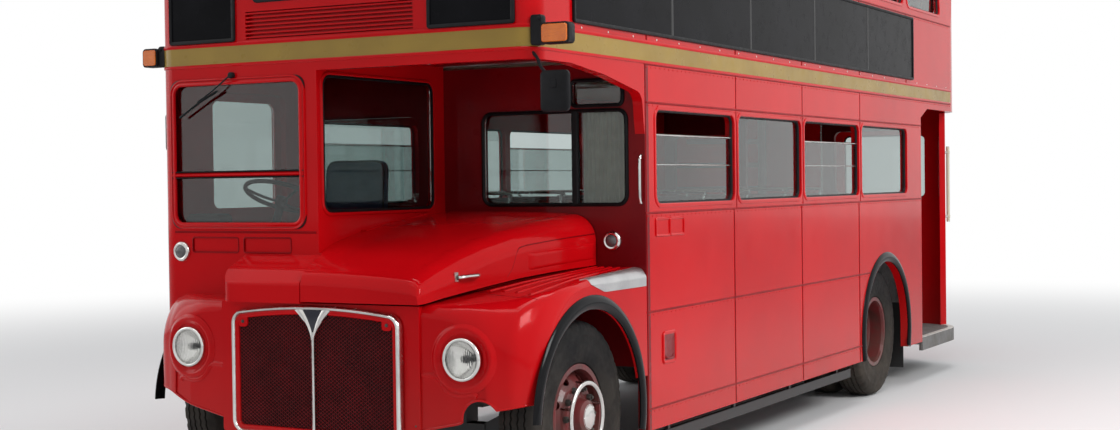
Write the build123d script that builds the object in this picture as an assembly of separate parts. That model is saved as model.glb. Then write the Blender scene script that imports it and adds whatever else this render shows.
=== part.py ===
from build123d import *
from math import cos, radians, sin, tan
import os

# Half-cab double decker bus with an open rear platform.
# Millimetres. +Z is up, the bus faces -Y, and +X is its nearside (kerb side).
# The origin is on the ground at the middle of the vehicle's box.
# A station is the distance behind the foremost point of the nose.

# Overall sizes
overall_length = 8382
body_width = 2438
overall_height = 4380
wheelbase = 5131
front_overhang = 800
panel = 60
skin = 14
fit = 0.3
running = 6

half_width = body_width / 2

# Heights
skirt_bottom = 338
platform_top = 372
saloon_floor_top = 760
saloon_floor = 60
lower_glass_low = 1616
lower_glass_high = 2150
winder_top = 2005
canopy_edge = 2357
band_low = 2419
band_high = 2517
upper_floor_under = 2440
upper_floor_top = 2560
roof_spring = overall_height - 580
upper_glass_high = roof_spring - 80
upper_glass_low = upper_glass_high - 540
upper_waist = upper_glass_low - 60
glass_corner = 55

# Stations along the body
deck_front = 220
bulkhead = 1469
bulkhead_depth = 50
rear_end = overall_length
opening_front = rear_end - 1450
rear_bulkhead_at = opening_front - 72
front_corner = 110
rear_corner = 500


def bays(first, last, shares, pillar_half):
    """Window spans between pillars that stand at shares of a run of the side."""
    pillars = [first + share * (last - first) for share in shares]
    return [(low + pillar_half, high - pillar_half) for low, high in zip(pillars[:-1], pillars[1:])]


lower_windows = bays(bulkhead, opening_front, [0.020, 0.2445, 0.4657, 0.6985, 0.9292], 35)
upper_windows = bays(deck_front, rear_end,
                     [0.0143, 0.1573, 0.3118, 0.4615, 0.6159, 0.7709, 0.9070], 63)
winding_bays = (0, 2)

# Running gear
axle_height = 510
tyre_radius = 510
tyre_width = 240
bead_radius = 254
flange_radius = 276
rim_width = 190
front_wheel_x = half_width - 184
kingpin_x = front_wheel_x - 235
kingpin_radius = 18
rear_pair_x = half_width - 349
twin_spacing = 300
spindle_radius = 35
arch_opening = 566
arch_trim = 76
front_arch_y = front_overhang
rear_arch_y = front_overhang + wheelbase


def at(station):
    """Y of a station."""
    return station - overall_length / 2


def box(x_low, x_high, s_low, s_high, z_low, z_high):
    """Block between two X values, two stations and two heights."""
    middle = ((x_low + x_high) / 2, at((s_low + s_high) / 2), (z_low + z_high) / 2)
    return Pos(*middle) * Box(x_high - x_low, s_high - s_low, z_high - z_low)


def side_plane(x):
    """Upright fore-and-aft plane: local x is the station and local y the height."""
    return Plane(origin=(x, at(0), 0), x_dir=(0, 1, 0), z_dir=(1, 0, 0))


def cross_plane(station):
    """Upright plane across the bus: local x is X and local y the height."""
    return Plane(origin=(0, at(station), 0), x_dir=(1, 0, 0), z_dir=(0, -1, 0))


def plan_plane(height):
    """Level plane: local x is X and local y the station."""
    return Plane(origin=(0, at(0), height), x_dir=(1, 0, 0), z_dir=(0, 0, 1))


def outline(corners):
    """Face from (u, v, radius) corners, each rounded by its own radius."""
    count = len(corners)
    spans = []
    for index, (u, v, radius) in enumerate(corners):
        point = Vector(u, v)
        before = Vector(*corners[index - 1][:2]) - point
        after = Vector(*corners[(index + 1) % count][:2]) - point
        if radius == 0:
            spans.append((point, None, point))
            continue
        half = radians(before.get_angle(after)) / 2
        reach = radius / tan(half)
        middle_way = (before.normalized() + after.normalized()).normalized()
        spans.append((
            point + before.normalized() * reach,
            point + middle_way * (radius / sin(half) - radius),
            point + after.normalized() * reach,
        ))
    edges = []
    for index, (enter, middle, leave) in enumerate(spans):
        if middle is not None:
            edges.append(ThreePointArc(enter, middle, leave))
        next_enter = spans[(index + 1) % count][0]
        if (next_enter - leave).length > 0.01:
            edges.append(Line(leave, next_enter))
    return make_face(edges)


def slab_x(face, x_low, x_high):
    """Side-view face carried across from one X to another."""
    return extrude(side_plane(x_low) * face, amount=x_high - x_low)


def slab_y(face, s_low, s_high):
    """Front-view face carried along from one station to another."""
    return extrude(cross_plane(s_high) * face, amount=s_high - s_low)


def slab_z(face, z_low, z_high):
    """Plan face carried up from one height to another."""
    return extrude(plan_plane(z_low) * face, amount=z_high - z_low)


def pane(low_u, high_u, low_v, high_v, radius):
    """Rectangle with rounded corners."""
    return outline([
        (low_u, low_v, radius), (high_u, low_v, radius),
        (high_u, high_v, radius), (low_u, high_v, radius),
    ])


def mirror_x(solid):
    """The same piece on the other side of the bus."""
    return mirror(solid, about=Plane.YZ)


def pieces(*solids):
    """Solids kept apart in one node."""
    found = []
    for solid in solids:
        found.extend(solid.solids())
    return Compound(children=found)


def rod(points, radius):
    """Round bar through a few points, with a ball at each turn."""
    bar = None
    for start, end in zip(points[:-1], points[1:]):
        start, end = Vector(*start), Vector(*end)
        run = end - start
        piece = Plane(origin=start, z_dir=run) * Cylinder(
            radius, run.length, align=(Align.CENTER, Align.CENTER, Align.MIN))
        if bar is None:
            bar = piece
        else:
            bar = bar + piece + Pos(*start) * Sphere(radius)
    return bar


# Body envelopes

def plan_outline(inset):
    """Plan of the body with rounded corners, set in by a wall thickness."""
    side = half_width - inset
    front = deck_front + inset
    front_round = front_corner - inset
    rear_round = rear_corner - inset
    return outline([
        (-side, front, front_round), (side, front, front_round),
        (side, rear_end - inset, rear_round), (-side, rear_end - inset, rear_round),
    ])


roof_half_width = half_width - 34
shoulder_radius = 380
shoulder_lean = 22
shoulder_height = overall_height - 75


def deck_section(inset):
    """Front view of the upper deck and roof: slight lean-in, round shoulders, cambered top."""
    side = half_width - inset
    top_side = roof_half_width - inset
    return outline([
        (-side, band_high - 400, 0), (side, band_high - 400, 0), (side, upper_waist, 0),
        (top_side, roof_spring, 0),
        (top_side - shoulder_lean, shoulder_height - inset, shoulder_radius - inset),
        (0, overall_height - inset, 0),
        (-top_side + shoulder_lean, shoulder_height - inset, shoulder_radius - inset),
        (-top_side, roof_spring, 0), (-side, upper_waist, 0),
    ])


roof_front_round = 420
roof_rear_round = 520
dome_run = 1500


def deck_profile(inset):
    """Side view of the upper deck and roof with its rounded front and rear domes."""
    return outline([
        (deck_front + inset, band_high - 400, 0), (rear_end - inset, band_high - 400, 0),
        (rear_end - inset, roof_spring - 200, 0),
        (rear_end - 90 - inset, overall_height - 40 - inset, roof_rear_round - inset),
        (rear_end - dome_run, overall_height - inset, 0),
        (deck_front + dome_run, overall_height - inset, 0),
        (deck_front + 90 + inset, overall_height - 50 - inset, roof_front_round - inset),
        (deck_front + inset, roof_spring - 200, 0),
    ])


def deck_envelope(inset):
    """Whole upper deck as a solid, set in by a wall thickness."""
    body = slab_y(deck_section(inset), deck_front - 10, rear_end + 10)
    body = body & slab_x(deck_profile(inset), -half_width - 10, half_width + 10)
    return body & slab_z(plan_outline(inset), band_high - 390, overall_height + 10)


# Wheels

def wheel_profile(points):
    """Solid of revolution about the X axis from (x, radius) points."""
    face = make_face(Polyline(*points, close=True))
    return revolve(face, axis=Axis.X)


def tyre_solid(centre_x):
    """Tyre with rounded shoulders, bulged walls and an open bead."""
    half = tyre_width / 2
    crown = tyre_radius
    seat = bead_radius + fit
    inner_half = rim_width / 2 - 13
    flange_top = flange_radius + 1
    face = outline([
        (centre_x - inner_half, seat, 0), (centre_x + inner_half, seat, 0),
        (centre_x + inner_half, flange_top, 0),
        (centre_x + half - 8, flange_radius + 34, 0), (centre_x + half, (crown + seat) / 2, 0),
        (centre_x + half - 14, crown - 14, 30), (centre_x, crown, 0),
        (centre_x - half + 14, crown - 14, 30), (centre_x - half, (crown + seat) / 2, 0),
        (centre_x - half + 8, flange_radius + 34, 0), (centre_x - inner_half, flange_top, 0),
    ])
    return revolve(face, axis=Axis.X)


hand_holes = 8
hand_hole_radius = 26
hand_hole_ring = 205


def front_wheel_solid():
    """Dished-out disc wheel with its rim, brake drum and protruding hub; +X is outward."""
    half = rim_width / 2
    rim = wheel_profile([
        (-half, flange_radius), (-half + 10, flange_radius), (-half + 12, bead_radius),
        (half - 12, bead_radius), (half - 10, flange_radius), (half, flange_radius),
        (half, bead_radius - 6), (half - 20, bead_radius - 12), (-half + 20, bead_radius - 12),
        (-half, bead_radius - 6),
    ])
    disc = wheel_profile([
        (5, bead_radius - 10), (30, bead_radius - 16), (58, 206), (84, 178), (92, 165), (92, 122),
        (108, 100), (150, 86), (166, 62), (170, 0), (150, 0), (150, spindle_radius + fit),
        (-60, spindle_radius + fit), (-60, 70), (40, 90), (78, 120), (78, 160), (70, 172),
        (44, 198), (14, bead_radius - 26), (-8, bead_radius - 20), (-8, bead_radius - 10),
    ])
    drum = wheel_profile([(-95, 200), (20, 200), (60, 150), (45, 88), (30, 88), (0, 185), (-95, 185)])
    wheel = rim + disc + drum
    for index in range(hand_holes):
        angle = 360 / hand_holes * (index + 0.5)
        hole = Rot(angle, 0, 0) * Pos(60, 0, hand_hole_ring) * Rot(0, 62, 0)
        wheel = wheel - hole * Cylinder(hand_hole_radius, 60)
    return wheel


def rear_wheel_solid():
    """Pair of rims back to back on one hub, the outer one deeply dished; +X is outward."""
    shift = twin_spacing / 2
    half = rim_width / 2
    rims = None
    for centre in (-shift, shift):
        rim = wheel_profile([
            (centre - half, flange_radius), (centre - half + 10, flange_radius),
            (centre - half + 12, bead_radius), (centre + half - 12, bead_radius),
            (centre + half - 10, flange_radius), (centre + half, flange_radius),
            (centre + half, bead_radius - 6), (centre + half - 20, bead_radius - 12),
            (centre - half + 20, bead_radius - 12), (centre - half, bead_radius - 6),
        ])
        rims = rim if rims is None else rims + rim
    disc = wheel_profile([
        (shift - 40, bead_radius - 10), (shift - 20, bead_radius - 12), (shift - 55, 228),
        (40, 196), (22, 170), (22, 128), (120, 118), (150, 100), (156, 60), (156, 0), (130, 0),
        (130, spindle_radius + fit), (-170, spindle_radius + fit), (-170, 80), (-22, 110),
        (-22, 170), (-40, 196), (55 - shift, 228), (20 - shift, bead_radius - 12),
        (40 - shift, bead_radius - 10), (30 - shift, bead_radius - 22), (-20, 200),
        (-4, 180), (4, 180), (20, 200), (shift - 30, bead_radius - 22),
    ])
    wheel = rims + disc
    for index in range(hand_holes):
        angle = 360 / hand_holes * (index + 0.5)
        hole = Rot(angle, 0, 0) * Pos(52, 0, hand_hole_ring + 5) * Rot(0, 118, 0)
        wheel = wheel - hole * Cylinder(hand_hole_radius - 6, 90)
    return wheel


def wheel_sets():
    """Tyres and wheels of the four corners, each on its own spindle."""
    nodes = {}
    corners = [
        # name, side, station, centre X, twin
        ("front_nearside", 1, front_arch_y, front_wheel_x, False),
        ("front_offside", -1, front_arch_y, front_wheel_x, False),
        ("rear_nearside", 1, rear_arch_y, rear_pair_x, True),
        ("rear_offside", -1, rear_arch_y, rear_pair_x, True),
    ]
    for name, side, station, centre_x, twin in corners:
        place = Pos(centre_x, at(station), axle_height)
        if twin:
            shift = twin_spacing / 2
            tyres = pieces(place * tyre_solid(-shift), place * tyre_solid(shift))
            wheel = place * rear_wheel_solid()
        else:
            tyres = place * tyre_solid(0)
            wheel = place * front_wheel_solid()
        if side < 0:
            tyres, wheel = mirror_x(tyres), mirror_x(wheel)
        nodes[name + "_tyre"] = tyres
        nodes[name + "_wheel"] = wheel
    return nodes


# Axles and frame

boss_half = 80
lug_thickness = 34
beam_drop = 70


def front_axle_solid():
    """Dropped beam between two kingpins, with the pins in its end bosses."""
    reach = kingpin_x - 60
    beam = box(-reach + 160, reach - 160, front_arch_y - 45, front_arch_y + 45,
               axle_height - beam_drop - 90, axle_height - beam_drop)
    spring_pad = 430
    for side in (-1, 1):
        inner, outer = side * (reach - 170), side * (kingpin_x - 20)
        rise = outline([
            (inner, axle_height - beam_drop - 90, 0), (inner, axle_height - beam_drop, 0),
            (outer, axle_height + 40, 0), (outer, axle_height - 40, 0),
        ])
        beam = beam + slab_y(rise, front_arch_y - 40, front_arch_y + 40)
        boss = Pos(side * kingpin_x, at(front_arch_y), axle_height)
        beam = beam + boss * Cylinder(34, 2 * boss_half)
        pin = 2 * (boss_half + lug_thickness + 12)
        beam = beam + boss * Cylinder(kingpin_radius, pin)
        beam = beam + box(side * spring_pad - 45, side * spring_pad + 45,
                          front_arch_y - 60, front_arch_y + 60,
                          axle_height - beam_drop, frame_low)
    return beam


def knuckle_solid():
    """Stub axle with forked lugs round the kingpin boss; +X is outward."""
    lug_low = boss_half + fit
    arm = None
    for side in (-1, 1):
        lug = Pos(0, 0, side * (lug_low + lug_thickness / 2)) * Cylinder(40, lug_thickness)
        ear = Pos(45, 0, side * (lug_low + lug_thickness / 2)) * Box(50, 74, lug_thickness)
        arm = lug + ear if arm is None else arm + lug + ear
    web = Pos(62, 0, 0) * Box(28, 74, 2 * (lug_low + lug_thickness))
    inner_end = 70
    outer_end = front_wheel_x + 149 - kingpin_x
    stub = Pos((inner_end + outer_end) / 2, 0, 0) * Rot(0, 90, 0) * Cylinder(
        spindle_radius, outer_end - inner_end)
    steering_arm = Pos(20, 90, -lug_low - lug_thickness / 2) * Box(34, 150, 26)
    arm = arm + web + stub + steering_arm
    bore = Cylinder(kingpin_radius + fit, 400)
    arm = arm - bore
    return Pos(kingpin_x, at(front_arch_y), axle_height) * arm


frame_low = 590
frame_high = saloon_floor_top - saloon_floor
frame_front = 74
frame_x = 430
frame_width = 80


outrigger_stations = [1900, 2900, 3900, 4900]
bearer_half = 35


def chassis_frame_solid():
    """Two side members with crossmembers, front horns, tank and rear platform bearers."""
    members = None
    cross_members = [120, 2900, 3900, 5200, 6700]
    for side in (-1, 1):
        member = box(side * frame_x - frame_width / 2, side * frame_x + frame_width / 2,
                     frame_front, rear_bulkhead_at, frame_low, frame_high)
        members = member if members is None else members + member
    for station in cross_members:
        members = members + box(-frame_x, frame_x, station - 35, station + 35,
                                frame_low, frame_high - 30)
    for station in outrigger_stations:
        for side in (-1, 1):
            low, high = sorted((side * frame_x, side * (half_width - panel)))
            members = members + box(low, high, station - 20, station + 20,
                                    frame_high - 60, frame_high)
    bearer_low = platform_top - 130
    bearers = []
    for side in (-1, 1):
        x = side * frame_x
        bearers.append(box(x - bearer_half, x + bearer_half, rear_bulkhead_at,
                           rear_end - 260, bearer_low, platform_top - platform_thick))
        members = members + box(x - bearer_half, x + bearer_half, rear_bulkhead_at - 80,
                                rear_bulkhead_at, bearer_low, frame_high)
    tank = box(-1120, -560, 3050, 4200, 360, 640)
    members = members + tank + box(-1000, -frame_x, 3300, 3380, 620, frame_high - 10)
    battery = box(560, 1080, 3100, 3700, 400, 640)
    members = members + battery + box(frame_x, 900, 3340, 3420, 620, frame_high - 10)
    return pieces(members, *bearers)


def rear_axle_solid():
    """Axle tube with its differential, stub spindles, spring seats and propeller shaft."""
    place = Pos(0, at(rear_arch_y), axle_height)
    tube = place * Rot(0, 90, 0) * Cylinder(62, 2 * (rear_pair_x - 200))
    diff = place * Sphere(175)
    axle = tube + diff + place * Rot(0, 90, 0) * Cylinder(spindle_radius, 2 * (rear_pair_x + 128))
    for side in (-1, 1):
        seat = box(side * frame_x - 50, side * frame_x + 50, rear_arch_y - 60, rear_arch_y + 60,
                   axle_height, frame_low)
        axle = axle + seat
    nose = rear_arch_y - 120
    shaft_end = engine_rear
    shaft = Pos(0, at((nose + shaft_end) / 2), axle_height + 30) * Rot(90, 0, 0) * Cylinder(
        45, nose - shaft_end)
    return axle + shaft


engine_front = 420
engine_rear = 2750
engine_top = 1060


def engine_solid():
    """Engine, gearbox and radiator as plain blocks on their bearers."""
    crank_low = 470
    block = box(-290, 290, engine_front, 1380, crank_low, engine_top)
    block = block + box(-350, -290, 520, 1300, 560, 700) + box(290, 350, 520, 1300, 560, 700)
    gearbox = box(-190, 190, 1380, engine_rear, 430, 690) - box(
        -400, 400, 2450, 2560, 560, 700)
    bearers = box(-frame_x + 40, frame_x - 40, 560, 640, 600, 660)
    radiator = box(-470, 470, 150, 240, frame_high + fit, engine_top)
    stay = box(-250, 250, 240, engine_front, 730, 790)
    return block + gearbox + bearers + radiator + stay


# Lower deck structure

opening_top_low = 2257
opening_top = 2337


def arch_cut(station, radius):
    """Wheel arch opening through a side."""
    place = Pos(0, at(station), axle_height) * Rot(0, 90, 0)
    round_part = place * Cylinder(radius, 2 * body_width)
    legs = box(-body_width, body_width, station - radius, station + radius, 0, axle_height)
    return round_part + legs


def lower_windows_cut(spans):
    """Prisms of the lower window openings, right through the bus."""
    cut = None
    for start, end in spans:
        prism = slab_x(pane(start, end, lower_glass_low, lower_glass_high, glass_corner),
                       -half_width - 10, half_width + 10)
        cut = prism if cut is None else cut + prism
    return cut


def nearside_lower_side():
    """Nearside wall between the front bulkhead and the platform opening."""
    wall = box(half_width - panel, half_width, bulkhead + bulkhead_depth, opening_front,
               skirt_bottom, band_low)
    return wall - lower_windows_cut(lower_windows) - arch_cut(rear_arch_y, arch_opening)


def offside_lower_side():
    """Offside wall from the cab to the rear corner."""
    wall = box(-half_width, -half_width + panel, bulkhead + bulkhead_depth,
               rear_end - rear_corner, skirt_bottom, band_low)
    return wall - lower_windows_cut(lower_windows) - arch_cut(rear_arch_y, arch_opening)


front_window = (165, half_width - 114)
cab_rear_window = (-half_width + 139, -300)
route_window = (half_width - 463, half_width - 136, 2179, 2322)


def bulkhead_solids():
    """Front bulkhead with its window and route glass, and rear bulkhead with the doorway."""
    inner = half_width - panel
    front = box(-half_width, half_width, bulkhead, bulkhead + bulkhead_depth,
                frame_high, band_low)
    for side in (-1, 1):
        low, high = sorted((side * (half_width - panel), side * half_width))
        front = front + box(low, high, bulkhead, bulkhead + bulkhead_depth,
                            skirt_bottom, frame_high)
    window = slab_y(pane(*front_window, lower_glass_low, lower_glass_high, glass_corner),
                    bulkhead - 100, bulkhead + 100)
    window_behind_cab = slab_y(
        pane(*cab_rear_window, lower_glass_low, lower_glass_high, glass_corner),
        bulkhead - 100, bulkhead + 100)
    route = slab_y(pane(*route_window, 30), bulkhead - 100, bulkhead + 100)
    front = front - window - window_behind_cab - route
    rear = box(-inner, inner, rear_bulkhead_at, rear_bulkhead_at + bulkhead_depth,
               saloon_floor_top, upper_floor_under)
    doorway = slab_y(pane(-360, 360, saloon_floor_top - 200, 2320, 80),
                     rear_bulkhead_at - 100, rear_bulkhead_at + 200)
    rear_panes = None
    for side in (-1, 1):
        low, high = sorted((side * 470, side * (half_width - 159)))
        rear_pane = slab_y(pane(low, high, lower_glass_low, lower_glass_high, glass_corner),
                           rear_bulkhead_at - 100, rear_bulkhead_at + 200)
        rear_panes = rear_pane if rear_panes is None else rear_panes + rear_pane
    return pieces(front, rear - doorway - rear_panes)


box_radius = 640
box_inner_x = 560


def lower_floor_solid():
    """Saloon floor, the rear wheel boxes that stand through it, and the platform step."""
    inner = half_width - panel
    floor = box(-inner, inner, bulkhead + bulkhead_depth, rear_bulkhead_at + bulkhead_depth,
                saloon_floor_top - saloon_floor, saloon_floor_top)
    boxes = []
    for side in (-1, 1):
        low, high = sorted((side * box_inner_x, side * inner))
        place = Pos((low + high) / 2, at(rear_arch_y), axle_height) * Rot(0, 90, 0)
        outer = place * Cylinder(box_radius + 20, high - low)
        hollow_low, hollow_high = sorted((side * (box_inner_x + 20), side * (inner + 1)))
        hollow_place = Pos((hollow_low + hollow_high) / 2, at(rear_arch_y), axle_height)
        hollow = hollow_place * Rot(0, 90, 0) * Cylinder(box_radius, hollow_high - hollow_low)
        above = box(-half_width, half_width, rear_arch_y - 900, rear_arch_y + 900,
                    saloon_floor_top - saloon_floor, 1400)
        floor = floor - place * Cylinder(box_radius + 20 + fit, high - low + 2 * fit)
        boxes.append((outer & above) - hollow)
    step = box(-360, 360, rear_bulkhead_at + bulkhead_depth, rear_bulkhead_at + 330,
               platform_top, (platform_top + saloon_floor_top) / 2)
    riser = box(-inner, inner, rear_bulkhead_at + 10, rear_bulkhead_at + bulkhead_depth,
                platform_top, saloon_floor_top - saloon_floor)
    return pieces(floor + riser, step, *boxes)


platform_thick = 60


def platform_solid():
    """Rear platform with its rounded corner and turned-down edge."""
    side = half_width
    start = rear_bulkhead_at + bulkhead_depth
    plan = outline([
        (-side + panel + 1, start, 0), (side, start, 0),
        (side, rear_end, rear_corner), (-side + panel + 1, rear_end, rear_corner - panel),
    ])
    inner = outline([
        (-side + panel + 41, start - 5, 0), (side - 30, start - 5, 0),
        (side - 30, rear_end - 30, rear_corner - 30),
        (-side + panel + 41, rear_end - 30, rear_corner - panel - 41),
    ])
    plate = slab_z(plan, platform_top - 110, platform_top)
    hollow = slab_z(inner, platform_top - 120, platform_top - platform_thick)
    sill = box(side - panel - 10, side + 10, start - 10, opening_front, 0, platform_top + 10)
    return plate - hollow - sill


corner_post_angle = 45
rear_window = (60, 860)


def ring(z_low, z_high, inset_out, inset_in):
    """Band of body wall in plan between two insets, from the deck front to the rear."""
    outer = slab_z(plan_outline(inset_out), z_low, z_high)
    return outer - slab_z(plan_outline(inset_in), z_low - 1, z_high + 1)


def platform_header():
    """Panel over the platform opening with the curved brow at its front."""
    header = box(half_width - panel, half_width, opening_front, rear_end - rear_corner,
                 opening_top, band_low)
    brow = slab_x(outline([
        (opening_front, opening_top_low, 0), (opening_front + 200, opening_top, 0),
        (opening_front, opening_top, 0),
    ]), half_width - panel, half_width)
    return header + brow


tail_lamps = [(-560, 905), (-560, 1050), (560, 905), (560, 1050)]
tail_lamp_radius = 48
tail_lamp_depth = 18


def tail_lamp_bodies(radius, depth):
    """Round bodies let into the rear wall at the tail lamps' places."""
    return [Pos(x, at(rear_end - depth / 2), height) * Rot(90, 0, 0) * Cylinder(radius, depth)
            for x, height in tail_lamps]


def lower_rear_solid():
    """Rear wall of the lower deck round to the open nearside corner, with the header."""
    wall = ring(platform_top, band_low, 0, panel)
    keep = box(-half_width - 1, half_width + 1, rear_end - rear_corner, rear_end + 1,
               0, band_high)
    wall = wall & keep
    centre_x = half_width - rear_corner
    centre_s = rear_end - rear_corner
    reach = 2 * rear_corner
    gap = outline([
        (centre_x, centre_s, 0), (centre_x + reach, centre_s, 0),
        (centre_x + reach, centre_s + reach * tan(radians(90 - corner_post_angle)), 0),
    ])
    wall = wall - slab_z(gap, 0, opening_top)
    skirt = ring(skirt_bottom, platform_top, 0, panel) & box(
        -half_width - 1, -half_width + panel + 0.5, rear_end - rear_corner, rear_end, 0, 3000)
    window = slab_y(pane(*rear_window, lower_glass_low - 60, lower_glass_high, glass_corner),
                    rear_end - 200, rear_end + 10)
    wall = wall + skirt + platform_header() - window
    for pocket in tail_lamp_bodies(tail_lamp_radius + fit, tail_lamp_depth + fit):
        wall = wall - pocket
    return wall


stair_steps = 9


def staircase_solid():
    """Winding stair in the rear offside corner, from the platform to the upper floor."""
    rise = (upper_floor_top - platform_top) / (stair_steps + 1)
    newel_x, newel_s = -480, rear_end - 822
    newel = Pos(newel_x, at(newel_s), (platform_top + upper_floor_top) / 2) * Cylinder(
        40, upper_floor_top - platform_top)
    stair = newel
    inner = half_width - panel - 2
    for index in range(stair_steps):
        start = radians(100 + index * 19)
        end = radians(100 + (index + 1) * 19 + 6)
        top = platform_top + rise * (index + 1)
        reach = 1400
        wedge = outline([
            (newel_x, newel_s, 0),
            (newel_x + reach * cos(start), newel_s + reach * sin(start), 0),
            (newel_x + reach * cos(end), newel_s + reach * sin(end), 0),
        ])
        tread = slab_z(wedge, top - 45, top)
        room = slab_z(plan_outline(panel + 2), top - 50, top + 5)
        limit = box(-inner, newel_x + 620, newel_s - 640, rear_end, top - 50, top + 5)
        stair = stair + (tread & room & limit)
    return stair


# Cab, nose and bonnet

cab_wall_x = -110
cab_skin = 40
cab_floor_low = 1090
cab_floor_top = 1125
cab_apron_low = 780
windscreen = (-half_width + 101, -190, 1515, 2335)
cab_side_window = (268, 1340, 1600, 2335)
vent_flaps = [(-974, -658, 1386, 1460), (-612, -297, 1386, 1460)]
ledge_low = 1131
ledge_outer_x = -604
seam_x = -75
bonnet_skin = 20
bonnet_sections = [
    # station, flank X, lower edge Z, top Z at the seam, top Z at the flank, shoulder radius
    (8, 652, 1141, 1228, 1190, 30),
    (24, 657, 1142, 1274, 1236, 60),
    (60, 664, 1145, 1302, 1266, 80),
    (180, 686, 1163, 1374, 1318, 110),
    (360, 716, 1185, 1438, 1382, 120),
    (560, 750, 1208, 1480, 1438, 120),
    (790, 791, 1233, 1521, 1484, 125),
    (1100, 843, 1254, 1554, 1524, 135),
    (bulkhead - running, 906, 1271, 1578, 1556, 150),
]
crown_rise = 9
hinge_start = 600
hinge_end = 1200
hinge_slope = 0.13
hinge_height = 1488
hinge_pin = 5
hinge_eye = 9


def ledge_solid():
    """Fixed cover in front of the cab, beside the lifting bonnet, and the hinge strip."""
    profile = outline([
        (6, ledge_low, 0), (deck_front, ledge_low, 0), (deck_front, 1374, 0),
        (70, 1303, 60), (6, 1236, 30),
    ])
    plan = outline([
        (ledge_outer_x, 6, 60), (seam_x - running, 6, 0), (seam_x - running, deck_front, 0),
        (ledge_outer_x, deck_front, 0),
    ])
    cover = slab_x(profile, ledge_outer_x, seam_x - running) & slab_z(plan, ledge_low, 1400)
    strip_line = [(row[0], row[3] - 2, 0) for row in bonnet_sections if row[0] > deck_front]
    strip = slab_x(outline([
        (deck_front, 1330, 0), (bulkhead, 1540, 0), (bulkhead, strip_line[-1][1], 0),
        *reversed(strip_line), (deck_front, 1386, 0),
    ]), cab_wall_x, seam_x - running)
    return cover + strip


def hinge_bar(start, end, radius):
    """Round bar on the bonnet's hinge line between two stations."""
    ends = [(seam_x, at(station), hinge_height + hinge_slope * (station - hinge_start))
            for station in (start, end)]
    return rod(ends, radius)


def hinge_lugs():
    """Hinge pin of the bonnet with its three lugs on the cab's strip."""
    lugs = hinge_bar(hinge_start, hinge_end, hinge_pin)
    for middle in (hinge_start + 15, (hinge_start + hinge_end) / 2, hinge_end - 15):
        height = hinge_height + hinge_slope * (middle - hinge_start)
        lugs = lugs + hinge_bar(middle - 15, middle + 15, hinge_eye)
        lugs = lugs + box(cab_wall_x + 2, seam_x - running, middle - 13, middle + 13,
                          height - 60, height + hinge_eye - 4)
        lugs = lugs + box(seam_x - running, seam_x, middle - 13, middle + 13,
                          height - hinge_pin, height + hinge_pin)
    return lugs


def bonnet_eyes():
    """Hinge eyes of the bonnet between the cab's lugs."""
    eyes = None
    middle = (hinge_start + hinge_end) / 2
    for start, end in ((hinge_start + 34, middle - 19), (middle + 19, hinge_end - 34)):
        low, high = [hinge_height + hinge_slope * (place - hinge_start) for place in (start, end)]
        web = slab_x(outline([
            (start, low - 40, 0), (end, high - 40, 0), (end, high - hinge_pin, 0),
            (start, low - hinge_pin, 0),
        ]), seam_x, seam_x + bonnet_skin)
        eye = hinge_bar(start, end, hinge_eye) + web
        eyes = eye if eyes is None else eyes + eye
    return eyes - hinge_bar(hinge_start - 5, hinge_end + 5, hinge_pin + fit)


def bonnet_block(inset):
    """Lofted body of the bonnet, set in by the skin."""
    rows = bonnet_sections
    if inset:
        front = bonnet_sections[0][0] + inset
        rows = [(front, *bonnet_sections[1][1:]), *bonnet_sections[2:]]
    faces = []
    for station, flank, low, seam_top, flank_top, shoulder in rows:
        base = low - (60 if inset else 0)
        middle = (seam_x + flank) / 2
        face = outline([
            (seam_x + inset, base, 0), (flank - inset, base, 0),
            (flank - inset, flank_top - inset, max(shoulder - inset, 8)),
            (middle, (seam_top + flank_top) / 2 + crown_rise - inset, 3000),
            (seam_x + inset, seam_top - inset, 0),
        ])
        faces.append(cross_plane(station) * face)
    return loft(faces, ruled=True)


def bonnet_solid():
    """Lifting bonnet: crowned top, nearside flank and front lip, open below."""
    shell = bonnet_block(0) - bonnet_block(bonnet_skin)
    shell = shell - hinge_bar(hinge_start - 10, hinge_end + 10, hinge_eye + running)
    return shell + bonnet_eyes()


nose_edge_x = 634
nose_return = deck_front - fit
wing_inner_x = nose_edge_x + fit
wing_sections = [
    # X, front station, bottom height, front top corner radius, top at front, middle and rear
    (wing_inner_x, 60, 505, 60, 1131, 1214, 1262),
    (half_width - 339, 68, 560, 110, 1133, 1216, 1262),
    (half_width - 169, 98, 625, 230, 1140, 1222, 1260),
    (half_width - 59, 170, 645, 360, 1160, 1234, 1258),
    (half_width - 22, 235, 650, 430, 1168, 1234, 1246),
    (half_width, 320, 655, 430, 1160, 1205, 1212),
]
wing_middle = 850
fog_notch = (half_width - 254, 575, 98)


def wing_block(inset):
    """Lofted body of a front wing, set in by the skin."""
    faces = []
    last = len(wing_sections) - 1
    for index, (x, front, low, corner, top_front, top_middle, top_rear) in enumerate(wing_sections):
        place = x
        if inset and index == last:
            place = x - inset
        if inset and index == 0:
            place = x - 20
        base = low - (200 if inset else 0)
        rear = bulkhead + (20 if inset else 0)
        face = outline([
            (front + inset, base, 0), (rear, base, 0), (rear, top_rear - inset, 0),
            (wing_middle, top_middle - inset, 1200),
            (front + inset, top_front - inset, corner - inset),
        ])
        faces.append(side_plane(place) * face)
    return loft(faces, ruled=True)


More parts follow.
